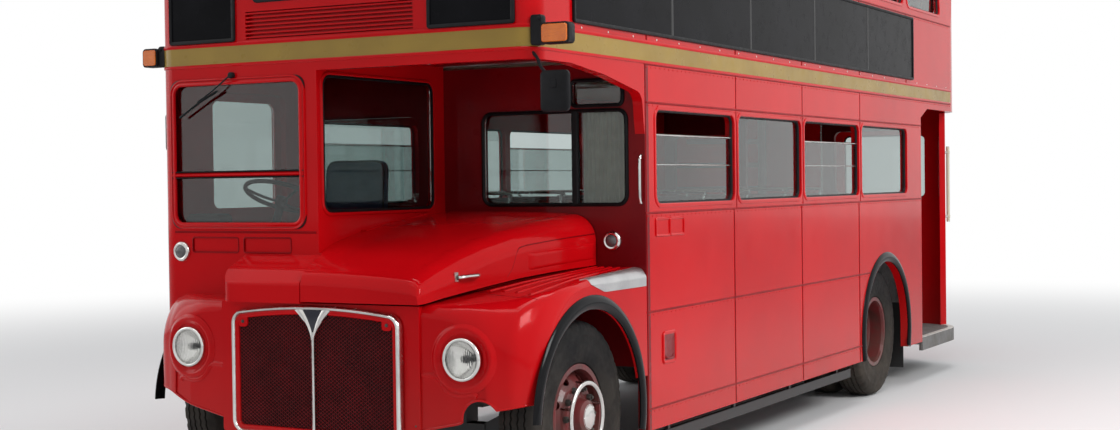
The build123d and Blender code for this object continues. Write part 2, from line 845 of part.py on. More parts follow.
def wing_solid():
    """Nearside front wing: streamlined shell with its arch opening."""
    shell = wing_block(0) - wing_block(skin)
    opening = Pos(half_width, at(front_arch_y), axle_height) * Rot(0, 90, 0) * Cylinder(
        arch_opening, 200)
    legs = box(half_width - 100, half_width + 100, front_arch_y - arch_opening,
               bulkhead + 100, 0, axle_height)
    lamp_hole = Pos(lamp_x, at(110), lamp_z) * Rot(90, 0, 0) * Cylinder(lamp_radius + fit, 240)
    return shell - opening - legs - lamp_hole


def nearside_wing_solid():
    """Nearside wing with the notch for a fog lamp in its lower edge."""
    x, height, radius = fog_notch
    notch = Pos(x, at(150), height) * Rot(90, 0, 0) * Cylinder(radius, 300)
    below = box(x - radius, x + radius, 0, 300, 0, height)
    return wing_solid() - notch - below


def offside_wing_solid():
    """Offside wing: the same shell, closed above by the cab floor."""
    cab_room = box(-half_width - 10, 0, deck_front, bulkhead + 10, cab_floor_low, 1600)
    return mirror_x(wing_solid()) - cab_room


def nose_panel_solid():
    """Flat front panel round the grille, between the wings and below the bonnet."""
    face = outline([
        (-nose_edge_x, grille_low, 20), (nose_edge_x, grille_low, 20),
        (nose_edge_x, ledge_low - fit, 0), (-nose_edge_x, ledge_low - fit, 0),
    ])
    hole = pane(-grille_half + grille_bar, grille_half - grille_bar, grille_low + grille_bar,
                grille_high - 30 - grille_bar, 50)
    panel_front = mesh_front + 20
    plate = slab_y(face, panel_front, panel_front + skin) - slab_y(hole, 0, 200)
    for side in (-1, 1):
        low, high = sorted((side * (nose_edge_x - skin), side * nose_edge_x))
        plate = plate + box(low, high, panel_front, nose_return, grille_low + 75, ledge_low - fit)
    stay = box(-nose_edge_x, nose_edge_x, panel_front, frame_front - fit,
               frame_low, frame_low + 60)
    return plate + stay


def cab_shell_solid():
    """Half cab on the offside: front panel, inner wall, frame, floor and ledge, and its apron."""
    outer = ring(cab_floor_low, canopy_edge, 0, cab_skin) & box(
        -half_width - 1, cab_wall_x, 0, bulkhead, cab_floor_low, canopy_edge)
    apron = ring(cab_apron_low, cab_floor_low - fit, 0, cab_skin) & box(
        wing_inner_x + 30, half_width + 1, 0, front_arch_y, cab_apron_low, cab_floor_low)
    apron = mirror_x(apron - wing_block(0))
    shell = outer - slab_y(pane(*windscreen, 60), deck_front - 10, deck_front + 100)
    for low_x, high_x, low_z, high_z in vent_flaps:
        shell = shell - slab_y(pane(low_x, high_x, low_z, high_z, 10), deck_front - 10,
                               deck_front + 5)
    wall = box(cab_wall_x - cab_skin, cab_wall_x, deck_front, bulkhead,
               engine_top + 20, upper_floor_under)
    wall = wall - slab_x(pane(*cab_side_window, 60), cab_wall_x - 100, cab_wall_x + 100)
    door_hole = slab_x(pane(door_start + 40, door_end - 40, door_low + 40,
                            door_high - 40, 60), -half_width - 10, -half_width + 100)
    floor = box(-half_width + cab_skin, cab_wall_x - cab_skin, deck_front + cab_skin,
                bulkhead, cab_floor_low, cab_floor_top)
    floor = floor & slab_z(plan_outline(cab_skin), cab_floor_low, cab_floor_top)
    shell = shell + wall - door_hole - ring(canopy_edge, band_low + 100, 0, panel) + floor
    shell = shell + ledge_solid() - hinge_bar(hinge_start - 10, hinge_end + 10, hinge_eye + running)
    return pieces(shell + hinge_lugs() + door_rails(), apron)


door_start = 600
door_end = 1360
door_low = 1262
door_high = 2340
door_gap = 6
door_thick = 26
door_travel = 640
rail_end = door_end + door_travel + 20


def cab_door_solid():
    """Sliding cab door outside the offside panel, with its window and runners."""
    outer = -half_width - door_gap
    door = slab_x(pane(door_start, door_end, door_low, door_high, 50),
                  outer - door_thick, outer)
    door = door - slab_x(pane(door_start + 90, door_end - 90, lower_glass_low,
                              door_high - 90, 50), -half_width - 60, -half_width)
    return door


def door_rails():
    """Top and bottom rails of the cab door on the offside panel."""
    outer = -half_width
    low = box(outer - 36, outer, door_start - 20, rail_end, door_low - fit - 22, door_low - fit)
    high = box(outer - 36, outer, door_start - 20, rail_end,
               door_high + fit, door_high + fit + 16)
    lip = box(outer - 40, outer - 36, door_start - 20, rail_end, door_low - fit - 22,
              door_low + 12)
    top_lip = box(outer - 40, outer - 36, door_start - 20, rail_end, door_high - 12,
                  door_high + fit + 16)
    return low + lip + high + top_lip


# Upper deck

def canopy_skirt():
    """Outer skirt of the deck over the cab and bonnet, with the curved nearside brow."""
    wall = ring(canopy_edge, band_low, 0, panel) & box(
        -half_width - 1, half_width + 1, deck_front - 1, bulkhead, 0, 3000)
    brow = outline([
        (bulkhead - 870, canopy_edge, 0), (bulkhead, canopy_edge, 0),
        (bulkhead, 2010, 0), (bulkhead - 14, 2080, 0),
        (bulkhead - 30, canopy_edge - 122, 85),
        (bulkhead - 480, canopy_edge - 42, 900),
    ])
    return wall + slab_x(brow, half_width - panel, half_width)


def upper_floor_solid():
    """Upper deck floor with the canopy skirt and the stairwell."""
    plan = slab_z(plan_outline(panel + fit), upper_floor_under, upper_floor_top)
    well = box(-half_width + panel + 2, -60, rear_end - 1302, rear_end - 240, upper_floor_under - 10,
               upper_floor_top + 10)
    return plan - well


def deck_walls():
    """Wall ring of the upper deck between the band and the roof."""
    outer = deck_envelope(0) - deck_envelope(panel)
    return outer & box(-half_width - 5, half_width + 5, deck_front - 5, rear_end + 5,
                       band_low, roof_spring)


def upper_windows_cut():
    """Prisms of the upper side windows, right through the deck."""
    cut = None
    for start, end in upper_windows:
        prism = slab_x(pane(start, end, upper_glass_low, upper_glass_high, glass_corner),
                       -half_width - 10, half_width + 10)
        cut = prism if cut is None else cut + prism
    return cut


front_pane = (45, half_width - 159)
display = (-520, 520, 2745, 3085)
display_depth = 30
vent = (-582, 508, 2542, 2692)
vent_slats = 7
exit_pane = (-560, 560, upper_waist - 30, roof_spring - 70)
exit_frame = 45
exit_gap = 6
exit_pin = 7
exit_pin_z = exit_pane[3] - 22
exit_pin_station = rear_end - 22


def split_walls(walls):
    """The four real panels of the upper deck walls."""
    front_cut = deck_front + front_corner + 40
    rear_cut = rear_end - rear_corner
    wide = half_width + 10
    front = walls & box(-wide, wide, deck_front - 10, front_cut, 2000, 4500)
    rear = walls & box(-wide, wide, rear_cut, rear_end + 10, 2000, 4500)
    sides = walls & box(-wide, wide, front_cut, rear_cut, 2000, 4500)
    for side in (-1, 1):
        low, high = sorted((side * front_pane[0], side * front_pane[1]))
        front = front - slab_y(pane(low, high, upper_glass_low, upper_glass_high, glass_corner),
                               deck_front - 10, deck_front + 150)
    front = front - slab_y(pane(*display, 20), deck_front - 10, deck_front + display_depth)
    low_x, high_x, low_z, high_z = vent
    front = front - box(low_x, high_x, deck_front - 10, deck_front + display_depth,
                        low_z, high_z)
    pitch = (high_z - low_z) / vent_slats
    for index in range(vent_slats):
        height = low_z + (index + 0.5) * pitch
        front = front + box(low_x, high_x, deck_front, deck_front + display_depth,
                            height - 4, height + 4)
    rear = rear - slab_y(pane(*exit_pane, 60), rear_end - 200, rear_end + 50)
    pin_place = Pos(0, at(exit_pin_station), exit_pin_z) * Rot(0, 90, 0)
    rear = rear + pin_place * Cylinder(exit_pin, exit_pane[1] - exit_pane[0] + 20)
    sides = sides - upper_windows_cut()
    return front, sides, rear


def roof_solid():
    """Roof shell above the window tops."""
    shell = deck_envelope(0) - deck_envelope(panel)
    return shell & box(-half_width - 5, half_width + 5, deck_front - 5, rear_end + 5,
                       roof_spring, overall_height + 5)


def emergency_window_solid():
    """Top-hung emergency window frame with its hinge eyes."""
    low_x, high_x, low_z, high_z = exit_pane
    face = pane(low_x + exit_gap, high_x - exit_gap, low_z + exit_gap, high_z - exit_gap - 30, 55)
    frame = slab_y(face, rear_end - 40, rear_end - 5)
    eye_length = high_x - low_x - 130
    place = Pos(0, at(exit_pin_station), exit_pin_z) * Rot(0, 90, 0)
    frame = frame + place * Cylinder(exit_pin + 5, eye_length)
    frame = frame + box(-eye_length / 2 + 60, eye_length / 2 - 60, exit_pin_station - 6,
                        exit_pin_station + 6, high_z - exit_gap - 36, exit_pin_z)
    frame = frame - place * Cylinder(exit_pin + fit, eye_length + 2)
    for side in (-1, 1):
        low, high = sorted((side * 30, side * (high_x - exit_gap - exit_frame)))
        hole = pane(low, high, low_z + exit_gap + exit_frame,
                    high_z - exit_gap - 30 - exit_frame, 40)
        frame = frame - slab_y(hole, rear_end - 100, rear_end + 50)
    return frame


glass_thick = 6
glass_inset = 26


def emergency_glass_solids():
    """The two panes of the emergency window."""
    high_x, low_z, high_z = exit_pane[1:]
    panes = []
    for side in (-1, 1):
        low, high = sorted((side * (30 + fit), side * (high_x - exit_gap - exit_frame - fit)))
        face = pane(low, high, low_z + exit_gap + exit_frame + fit,
                    high_z - exit_gap - 30 - exit_frame - fit, 40)
        panes.append(slab_y(face, rear_end - 26, rear_end - 26 + glass_thick))
    return pieces(*panes)


def cab_door_glass_solid():
    """Pane of the cab door."""
    middle = -half_width - door_gap - door_thick / 2
    face = pane(door_start + 90 + fit, door_end - 90 - fit, lower_glass_low + fit,
                door_high - 90 - fit, 50)
    return slab_x(face, middle - glass_thick / 2, middle + glass_thick / 2)


def window_glass_solids():
    """Every fixed pane of the saloons, bulkhead and cab, a little smaller than its hole."""
    shrink = fit
    panes = []
    outer = half_width - glass_inset
    for index, (start, end) in enumerate(lower_windows):
        face = pane(start + shrink, end - shrink, lower_glass_low + shrink,
                    lower_glass_high - shrink, glass_corner)
        glass = slab_x(face, outer - glass_thick, outer)
        if index in winding_bays:
            glass = glass & box(0, half_width, start, end, 0, winder_top)
        panes.append(glass)
        panes.append(mirror_x(glass))
    upper_outer = roof_half_width + 10 - glass_inset
    for start, end in upper_windows:
        face = pane(start + shrink, end - shrink, upper_glass_low + shrink,
                    upper_glass_high - shrink, glass_corner)
        panes.append(slab_x(face, upper_outer - glass_thick, upper_outer))
        panes.append(slab_x(face, -upper_outer, -upper_outer + glass_thick))
    for side in (-1, 1):
        low, high = sorted((side * front_pane[0], side * front_pane[1]))
        face = pane(low + shrink, high - shrink, upper_glass_low + shrink,
                    upper_glass_high - shrink, glass_corner)
        panes.append(slab_y(face, deck_front + 20, deck_front + 20 + glass_thick))
    for low, high in (front_window, cab_rear_window):
        face = pane(low + shrink, high - shrink, lower_glass_low + shrink,
                    lower_glass_high - shrink, glass_corner)
        panes.append(slab_y(face, bulkhead + 20, bulkhead + 20 + glass_thick))
    low, high, base, top = route_window
    panes.append(slab_y(pane(low + shrink, high - shrink, base + shrink, top - shrink, 30),
                        bulkhead + 20, bulkhead + 20 + glass_thick))
    low, high, base, top = windscreen
    panes.append(slab_y(pane(low + shrink, high - shrink, base + shrink, top - shrink, 60),
                        deck_front + 16, deck_front + 16 + glass_thick))
    low, high, base, top = cab_side_window
    panes.append(slab_x(pane(low + shrink, high - shrink, base + shrink, top - shrink, 60),
                        cab_wall_x - 20, cab_wall_x - 20 + glass_thick))
    low, high = rear_window
    panes.append(slab_y(pane(low + shrink, high - shrink, lower_glass_low - 60 + shrink,
                             lower_glass_high - shrink, glass_corner),
                        rear_end - 40, rear_end - 40 + glass_thick))
    return pieces(*panes)


# Nose trim

grille_half = 540
grille_low = 430
grille_high = 1122
grille_bar = 26
grille_front = 0
mesh_front = 28


def grille_frame_solid():
    """Polished surround with round top corners, a centre bar and its Y head."""
    outer = outline([
        (-grille_half, grille_low, 60), (grille_half, grille_low, 60),
        (grille_half, grille_high - 30, 70), (0, grille_high, 900),
        (-grille_half, grille_high - 30, 70),
    ])
    inner = outline([
        (-grille_half + grille_bar, grille_low + grille_bar, 40),
        (grille_half - grille_bar, grille_low + grille_bar, 40),
        (grille_half - grille_bar, grille_high - 30 - grille_bar, 50),
        (0, grille_high - grille_bar, 900),
        (-grille_half + grille_bar, grille_high - 30 - grille_bar, 50),
    ])
    frame = slab_y(outer, grille_front, mesh_front + 20) - slab_y(inner, -10, 200)
    bar = box(-9, 9, grille_front, mesh_front - 1, grille_low + 5, grille_high - 5)
    head = None
    for side in (-1, 1):
        arm = outline([
            (side * 5, 930, 0), (side * 25, 930, 0), (side * 98, grille_high - 15, 0),
            (side * 70, grille_high - 15, 0),
        ])
        piece = slab_y(arm, grille_front, mesh_front - 1)
        head = piece if head is None else head + piece
    return frame + bar + head


def grille_mesh_solid():
    """Backing plate of the grille with its upright ribs."""
    gap = fit
    face = outline([
        (-grille_half + grille_bar + gap, grille_low + grille_bar + gap, 40),
        (grille_half - grille_bar - gap, grille_low + grille_bar + gap, 40),
        (grille_half - grille_bar - gap, grille_high - 30 - grille_bar - gap, 50),
        (0, grille_high - grille_bar - gap, 900),
        (-grille_half + grille_bar + gap, grille_high - 30 - grille_bar - gap, 50),
    ])
    return slab_y(face, mesh_front, mesh_front + 6)


def arch_trim_solids():
    """Black rubber strips round the four wheel arches."""
    strips = []
    for station in (front_arch_y, rear_arch_y):
        place = Pos(half_width + 5, at(station), axle_height) * Rot(0, 90, 0)
        strip = place * Cylinder(arch_opening + arch_trim, 10) - place * Cylinder(
            arch_opening, 30)
        low = 650 if station == front_arch_y else skirt_bottom
        strip = strip & box(half_width - 50, half_width + 50, station - 700, station + 700,
                            low, 1400)
        if station == front_arch_y:
            strip = strip & box(half_width - 50, half_width + 50, station - 700,
                                bulkhead - fit, 0, 1400)
        strips.append(strip)
        strips.append(mirror_x(strip))
    return pieces(*strips)


rail_x = half_width - 79
flap_at = rear_arch_y + box_radius + 25


def guard_rail_solids():
    """Guard rails hung between the wheels and the flaps behind the rear wheels."""
    rails = []
    for side in (-1, 1):
        x = side * rail_x
        rail = box(x - 15, x + 15, front_arch_y + 900, rear_arch_y - 731, 225, 290)
        for station in outrigger_stations:
            rail = rail + box(x - 10, x + 10, station - 15, station + 15, 225, frame_high - 60)
        rails.append(rail)
        flap_low, flap_high = sorted((side * 620, side * (half_width - 69)))
        rails.append(box(flap_low, flap_high, flap_at, flap_at + 8, 150, frame_high))
    return pieces(*rails)


# Fittings

lamp_x = half_width - 342
lamp_z = 873
lamp_radius = 100
signal_low = 2424
signal_high = 2530
signals = [
    # side, reach beyond the body, station
    (1, 193, 258),
    (-1, 123, 270),
]
driving_mirrors = [
    # side, centre beyond the body, half width, station, low, high
    (1, 93, 80, 258, 2092, 2297),
    (-1, 88, 60, 450, 1945, 2180),
]


def lamp_solids():
    """Headlamps, side lamps, tail lamps and turn signals."""
    lamps = []
    for side in (-1, 1):
        head = Pos(side * lamp_x, at(110), lamp_z) * Rot(90, 0, 0) * Cylinder(lamp_radius, 80)
        lamps.append(head)
    body = slab_z(plan_outline(-3 - fit), signal_low - 10, signal_high + 10)
    for side, reach, station in signals:
        low, high = sorted((side * (half_width - 100), side * (half_width + reach)))
        signal = box(low, high, station - 34, station + 34, signal_low, signal_high)
        lamps.append(signal - body)
    offside_lamp = Pos(-half_width + 165, at(deck_front - 12), 1385) * Rot(90, 0, 0)
    lamps.append(offside_lamp * Cylinder(52, 24))
    bulkhead_lamp = Pos(half_width - 209, at(bulkhead - 12), 1410) * Rot(90, 0, 0)
    lamps.append(bulkhead_lamp * Cylinder(52, 24))
    return pieces(*lamps, *tail_lamp_bodies(tail_lamp_radius, tail_lamp_depth))


def mirror_solids():
    """Nearside mirror hung from the turn signal, and offside one on an arm from the cab."""
    heads = []
    for side, reach, half, station, low, high in driving_mirrors:
        x, y = side * (half_width + reach), at(station)
        head = box(x - half, x + half, station - 15, station + 15, low, high)
        if side > 0:
            arm = rod([(x, y, high - 5), (x, y, signal_low - fit)], 9)
        else:
            arm = rod([(-half_width - fit, y, high + 45), (x, y, high + 45), (x, y, high - 5)], 9)
        heads.append(head + arm)
    return pieces(*heads)


def band_solid():
    """Painted band with its bead between the decks."""
    strip = ring(band_low, band_high, -3, 0)
    return strip & box(-half_width - 10, half_width + 10, 0, rear_end - rear_corner, 0, 4000)


def board_solids():
    """Bare boards of the sides and the front, and the blank destination display."""
    boards = []
    for side in (-1, 1):
        low, high = sorted((side * half_width, side * (half_width + 8)))
        boards.append(box(low, high, deck_front + 409, opening_front - 252,
                          band_high + 55, upper_waist - 40))
    for low, high in ((-half_width + 112, -658), (607, half_width - 112)):
        boards.append(box(low, high, deck_front - 8, deck_front, band_high + 25,
                          upper_waist - 40))
    blind = slab_y(pane(display[0] + 1, display[1] - 1, display[2] + 1, display[3] - 1, 20),
                   deck_front + display_depth - 9, deck_front + display_depth)
    boards.append(blind)
    return pieces(*boards)


seat_pitch = 720


def seat_shape(inner, outer, front, base):
    """Double seat facing forward: plinth, cushion and back in one outline."""
    side = outline([
        (front + 80, base, 0), (front + 460, base, 0), (front + 460, base + 330, 0),
        (front + 560, base + 880, 30), (front + 490, base + 880, 30),
        (front + 390, base + 430, 0), (front, base + 440, 40), (front, base + 330, 0),
        (front + 80, base + 330, 0),
    ])
    return slab_x(side, inner, outer)


def seat_solids():
    """Rows of double seats on both decks and the benches over the wheel boxes."""
    seats = []
    aisle = 280
    wall = half_width - panel - 6
    for side in (-1, 1):
        inner, outer = sorted((side * aisle, side * wall))
        for row in range(4):
            station = 2050 + row * seat_pitch
            seats.append(seat_shape(inner, outer, station, saloon_floor_top))
        bench_low, bench_high = sorted((side * box_inner_x, side * wall))
        bench_top = axle_height + box_radius + 120
        bench = box(bench_low, bench_high, rear_arch_y - 620, rear_arch_y + 620,
                    bench_top - 100 + fit, bench_top)
        back_low, back_high = sorted((side * (wall - 90), side * wall))
        bench = bench + box(back_low, back_high, rear_arch_y - 620, rear_arch_y + 620,
                            bench_top, bench_top + 300)
        seats.append(bench)
        for row in range(9):
            if side < 0 and row > 7:
                continue
            station = 1150 + row * seat_pitch
            inner_up, outer_up = sorted((side * aisle, side * (roof_half_width - panel - 10)))
            seats.append(seat_shape(inner_up, outer_up, station, upper_floor_top))
    return pieces(*seats)


grab_pole_angle = 48
grab_pole_reach = 45
grab_pole_span = (1330, 2030)
grab_pole_brackets = (1380, 1975)


def grab_pole_solid():
    """Upright pole outside the rounded rear corner, on two brackets from the body."""
    turn = radians(grab_pole_angle)

    def place(reach, height):
        return (half_width - rear_corner + reach * cos(turn),
                at(rear_end - rear_corner + reach * sin(turn)), height)

    reach = rear_corner + grab_pole_reach
    pole = rod([place(reach, height) for height in grab_pole_span], 15)
    for height in grab_pole_brackets:
        pole = pole + rod([place(rear_corner + fit, height), place(reach, height)], 12)
    return pole


def handrail_solids():
    """Stanchions of the platform, from its floor to the deck above, and the corner pole."""
    poles = []
    poles.append(rod([(420, at(rear_bulkhead_at + 110), platform_top),
                      (420, at(rear_bulkhead_at + 110), upper_floor_under)], 17))
    pole_station = rear_end - 682
    poles.append(rod([(60, at(pole_station), platform_top),
                      (60, at(pole_station), upper_floor_under)], 17))
    poles.append(grab_pole_solid())
    return pieces(*poles)


def cab_controls_solid():
    """Driver's seat, steering column and wheel, and the instrument binnacle."""
    floor = cab_floor_top
    seat = box(-900, -420, 900, 1330, floor + 260, floor + 380)
    seat = seat + box(-900, -420, 1290, 1380, floor + 360, floor + 780)
    seat = seat + box(-760, -560, 1000, 1250, floor, floor + 270)
    centre = (-660, at(620), floor + 560)
    wheel = Plane(origin=centre, z_dir=(0, 0.45, 1)) * Torus(215, 13)
    column = rod([(-660, at(395), floor - 13), (-660, at(620), floor + 560)], 24)
    column = column - box(-760, -560, 300, 500, floor - 60, floor)
    spokes = Plane(origin=centre, z_dir=(0, 0.45, 1)) * Box(420, 24, 12)
    binnacle = box(-1130, -860, 320, 430, floor + 300, floor + 470) + box(
        -1010, -970, 350, 400, floor, floor + 320)
    return pieces(seat, wheel + column + spokes, binnacle)


def build():
    """Every node of the bus by its name."""
    nodes = wheel_sets()
    nodes["front_axle"] = front_axle_solid()
    nodes["front_nearside_knuckle"] = knuckle_solid()
    nodes["front_offside_knuckle"] = mirror_x(knuckle_solid())
    nodes["rear_axle"] = rear_axle_solid()
    nodes["engine_block"] = engine_solid()
    nodes["chassis_frame"] = chassis_frame_solid()
    nodes["lower_floor"] = lower_floor_solid()
    nodes["rear_platform"] = platform_solid()
    nodes["nearside_lower_side"] = nearside_lower_side()
    nodes["offside_lower_side"] = offside_lower_side()
    nodes["saloon_bulkheads"] = bulkhead_solids()
    nodes["lower_rear_panel"] = lower_rear_solid()
    nodes["staircase"] = staircase_solid()
    nodes["cab_shell"] = cab_shell_solid()
    nodes["cab_door"] = cab_door_solid()
    nodes["cab_door_glass"] = cab_door_glass_solid()
    nodes["bonnet"] = bonnet_solid()
    nodes["front_wings"] = pieces(nearside_wing_solid(), offside_wing_solid())
    nodes["nose_panel"] = nose_panel_solid()
    nodes["grille_frame"] = grille_frame_solid()
    nodes["grille_mesh"] = grille_mesh_solid()
    nodes["arch_trims"] = arch_trim_solids()
    nodes["guard_rails"] = guard_rail_solids()
    nodes["canopy"] = canopy_skirt()
    nodes["upper_floor"] = upper_floor_solid()
    front, sides, rear = split_walls(deck_walls())
    nodes["upper_front"] = front
    nodes["upper_sides"] = sides
    nodes["upper_rear"] = rear
    nodes["emergency_window"] = emergency_window_solid()
    nodes["emergency_glass"] = emergency_glass_solids()
    nodes["roof"] = roof_solid()
    nodes["window_glass"] = window_glass_solids()
    nodes["seats"] = seat_solids()
    nodes["handrails"] = handrail_solids()
    nodes["cab_controls"] = cab_controls_solid()
    nodes["lamps"] = lamp_solids()
    nodes["mirrors"] = mirror_solids()
    nodes["gold_band"] = band_solid()
    nodes["boards"] = board_solids()
    return nodes


os.makedirs("parts", exist_ok=True)
for name, solid in build().items():
    export_step(solid, f"parts/{name}.step")
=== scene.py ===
import logging
import math
from dataclasses import dataclass, field
from enum import Enum
from typing import Callable, Iterable, Optional, Sequence

import bpy
import numpy as np
from mathutils import Matrix


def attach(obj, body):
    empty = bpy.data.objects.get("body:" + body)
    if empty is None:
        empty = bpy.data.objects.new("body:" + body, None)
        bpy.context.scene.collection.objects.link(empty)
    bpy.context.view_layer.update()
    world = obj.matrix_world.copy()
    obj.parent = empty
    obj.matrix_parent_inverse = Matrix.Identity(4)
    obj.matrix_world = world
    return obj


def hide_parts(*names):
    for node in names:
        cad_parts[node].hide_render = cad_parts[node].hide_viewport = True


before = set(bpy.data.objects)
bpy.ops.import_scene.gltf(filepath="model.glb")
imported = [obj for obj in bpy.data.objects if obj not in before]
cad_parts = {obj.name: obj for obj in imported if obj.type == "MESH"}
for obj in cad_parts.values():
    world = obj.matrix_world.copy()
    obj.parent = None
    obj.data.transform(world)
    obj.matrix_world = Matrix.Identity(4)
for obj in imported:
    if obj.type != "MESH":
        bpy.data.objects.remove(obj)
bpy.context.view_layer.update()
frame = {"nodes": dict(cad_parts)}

log = logging.getLogger("bus")

Colour = tuple[float, float, float]
Pairs = Sequence[tuple[float, float]]
Numbers = float | Sequence[float] | np.ndarray
Tree = bpy.types.NodeTree
Socket = bpy.types.NodeSocket
TURN = 2 * math.pi

# Main sizes in metres; a station is the distance behind the nose
LENGTH = 8.382
HALF_WIDTH = 1.219
FRONT_AXLE = 0.800
REAR_AXLE = 5.931
HUB_HEIGHT = 0.510
DECK_FRONT = 0.220
BULKHEAD = 1.469
BODY_END = 7.880
DRIVER_X = -0.660
SKIN_PROUD = 0.0006
CLOTH_LINE = BULKHEAD + 0.072
ROOF_TOP = 4.3798
SHARP = math.radians(38)
FORWARD = (0, -1, 0)


def along(station: float | np.ndarray) -> float | np.ndarray:
    """Y of a station, which is the distance behind the nose."""
    return station - LENGTH / 2


def points_at(x: Numbers, station: Numbers, height: Numbers) -> np.ndarray:
    """Points at an X, a station and a height, each a number or an array, spread to one shape."""
    return np.stack(np.broadcast_arrays(x, along(np.asarray(station, float)), height), -1)


def unit(vectors: np.ndarray) -> np.ndarray:
    """Vectors brought to length one along their last axis."""
    return vectors / np.linalg.norm(vectors, axis=-1, keepdims=True)


def heading(line: np.ndarray, closed: bool = False) -> np.ndarray:
    """Unit direction of a line at each of its points."""
    return unit(np.roll(line, -1, 0) - np.roll(line, 1, 0) if closed else np.gradient(line, axis=0))


def circle(steps: int) -> np.ndarray:
    """Places round a unit circle as (cos, sin) rows."""
    angle = np.linspace(0, TURN, steps, endpoint=False)
    return np.stack([np.cos(angle), np.sin(angle)], -1)


# Shapes as whole arrays


@dataclass
class Shape:
    """Closed surface held as arrays.

    Attributes:
        points: Corner places, one row each.
        quads: Four corner numbers a row.
        tris: Three corner numbers a row.
    """

    points: np.ndarray
    quads: np.ndarray
    tris: np.ndarray = field(default_factory=lambda: np.zeros((0, 3), int))

    def outward(self) -> "Shape":
        """The same shape with its faces turned outwards, by the sign of its volume."""
        corners = np.concatenate([self.quads[:, [0, 1, 2]], self.quads[:, [0, 2, 3]], self.tris])
        a, b, c = (self.points[corners[:, i]] - self.points.mean(0) for i in range(3))
        if np.einsum("ij,ij->i", a, np.cross(b, c)).sum() < 0:
            return Shape(self.points, self.quads[:, ::-1], self.tris[:, ::-1])
        return self

    def moved(self, offset: Sequence[float]) -> "Shape":
        """The shape carried by an offset."""
        return Shape(self.points + np.asarray(offset, float), self.quads, self.tris)

    def mirrored(self) -> "Shape":
        """The shape on the other side of the bus, its faces still outwards."""
        return Shape(self.points * [-1, 1, 1], self.quads[:, ::-1], self.tris[:, ::-1])

    def both_sides(self) -> "Shape":
        """The shape together with its mirror image."""
        return joined([self, self.mirrored()])


def joined(shapes: Iterable[Shape]) -> Shape:
    """One shape from several, each keeping its own corners."""
    found = list(shapes)
    starts = np.cumsum([0] + [len(shape.points) for shape in found[:-1]])
    return Shape(
        np.concatenate([shape.points for shape in found]),
        np.concatenate([shape.quads + start for shape, start in zip(found, starts)]),
        np.concatenate([shape.tris + start for shape, start in zip(found, starts)]),
    )


def grid_quads(rows: int, columns: int, closed_rows: bool, closed_columns: bool) -> np.ndarray:
    """Corner numbers of a grid: cell (i, j) joins rows i, i+1 and columns j, j+1, wrapped if closed."""
    row, column = np.meshgrid(np.arange(rows if closed_rows else rows - 1),
                              np.arange(columns if closed_columns else columns - 1), indexing="ij")
    next_row, next_column = (row + 1) % rows, (column + 1) % columns
    corners = [row * columns + column, row * columns + next_column,
               next_row * columns + next_column, next_row * columns + column]
    return np.stack(corners, -1).reshape(-1, 4)


def loft(rings: np.ndarray, closed: bool = False) -> Shape:
    """Skin over a row of closed rings.

    Args:
        rings: Points as (ring, place round it, 3).
        closed: Whether the last ring joins the first; otherwise both ends get a fan to their middle.

    Returns:
        The closed surface, faces outwards.
    """
    count, size = rings.shape[:2]
    quads = grid_quads(count, size, closed, True)
    points = rings.reshape(-1, 3)
    if closed:
        return Shape(points, quads).outward()
    here = np.arange(size)
    after = (here + 1) % size
    last = (count - 1) * size
    middles = np.stack([rings[0].mean(0), rings[-1].mean(0)])
    start_fan = np.stack([after, here, np.full(size, count * size)], -1)
    end_fan = np.stack([here + last, after + last, np.full(size, count * size + 1)], -1)
    return Shape(np.concatenate([points, middles]), quads,
                 np.concatenate([start_fan, end_fan])).outward()


def frame_of(axis: Sequence[float]) -> tuple[np.ndarray, np.ndarray, np.ndarray]:
    """A unit axis and two unit directions square to it."""
    first = unit(np.asarray(axis, float))
    helper = np.array([0.0, 0.0, 1.0]) if abs(first[2]) < 0.9 else np.array([0.0, 1.0, 0.0])
    second = unit(np.cross(helper, first))
    return first, second, np.cross(first, second)


def turned(profile: Pairs, centre: Sequence[float],
           axis: Sequence[float], steps: int = 40, closed: bool = False) -> Shape:
    """Surface of revolution: centre + axis·a + radius·(cos t, sin t) for each (a, radius) pair.

    Args:
        profile: Pairs of the distance along the axis and the radius.
        centre: Point that the profile is measured from.
        axis: Direction of the axis.
        steps: Places round the axis.
        closed: Whether the profile is a closed ring, such as a bezel's section.

    Returns:
        The closed surface.
    """
    pairs = np.asarray(profile, float)
    first, second, third = frame_of(axis)
    spokes = circle(steps) @ np.stack([second, third])
    rings = np.asarray(centre, float) + pairs[:, 0, None, None] * first + pairs[:, 1, None, None] * spokes
    return loft(np.swapaxes(rings, 0, 1), closed=True) if closed else loft(rings)


def tube(path: Sequence[Sequence[float]], radius: float, sides: int = 10, steps: int = 8,
         closed: bool = False) -> Shape:
    """Round bar: a smooth curve through the points, with a circle square to it at each place.

    Args:
        path: Points that the bar's middle runs through.
        radius: Radius of the bar.
        sides: Places round the bar.
        steps: Places between two points of the path.
        closed: Whether the path is a loop.

    Returns:
        The closed surface.
    """
    line = smooth(np.asarray(path, float), steps, closed)
    ahead = heading(line, closed)
    second = unit(np.cross((0.13, 0.21, 0.97), ahead))
    third = np.cross(ahead, second)
    turn = circle(sides)
    rings = line[:, None] + radius * (turn[:, :1] * second[:, None] + turn[:, 1:] * third[:, None])
    return loft(rings, closed)


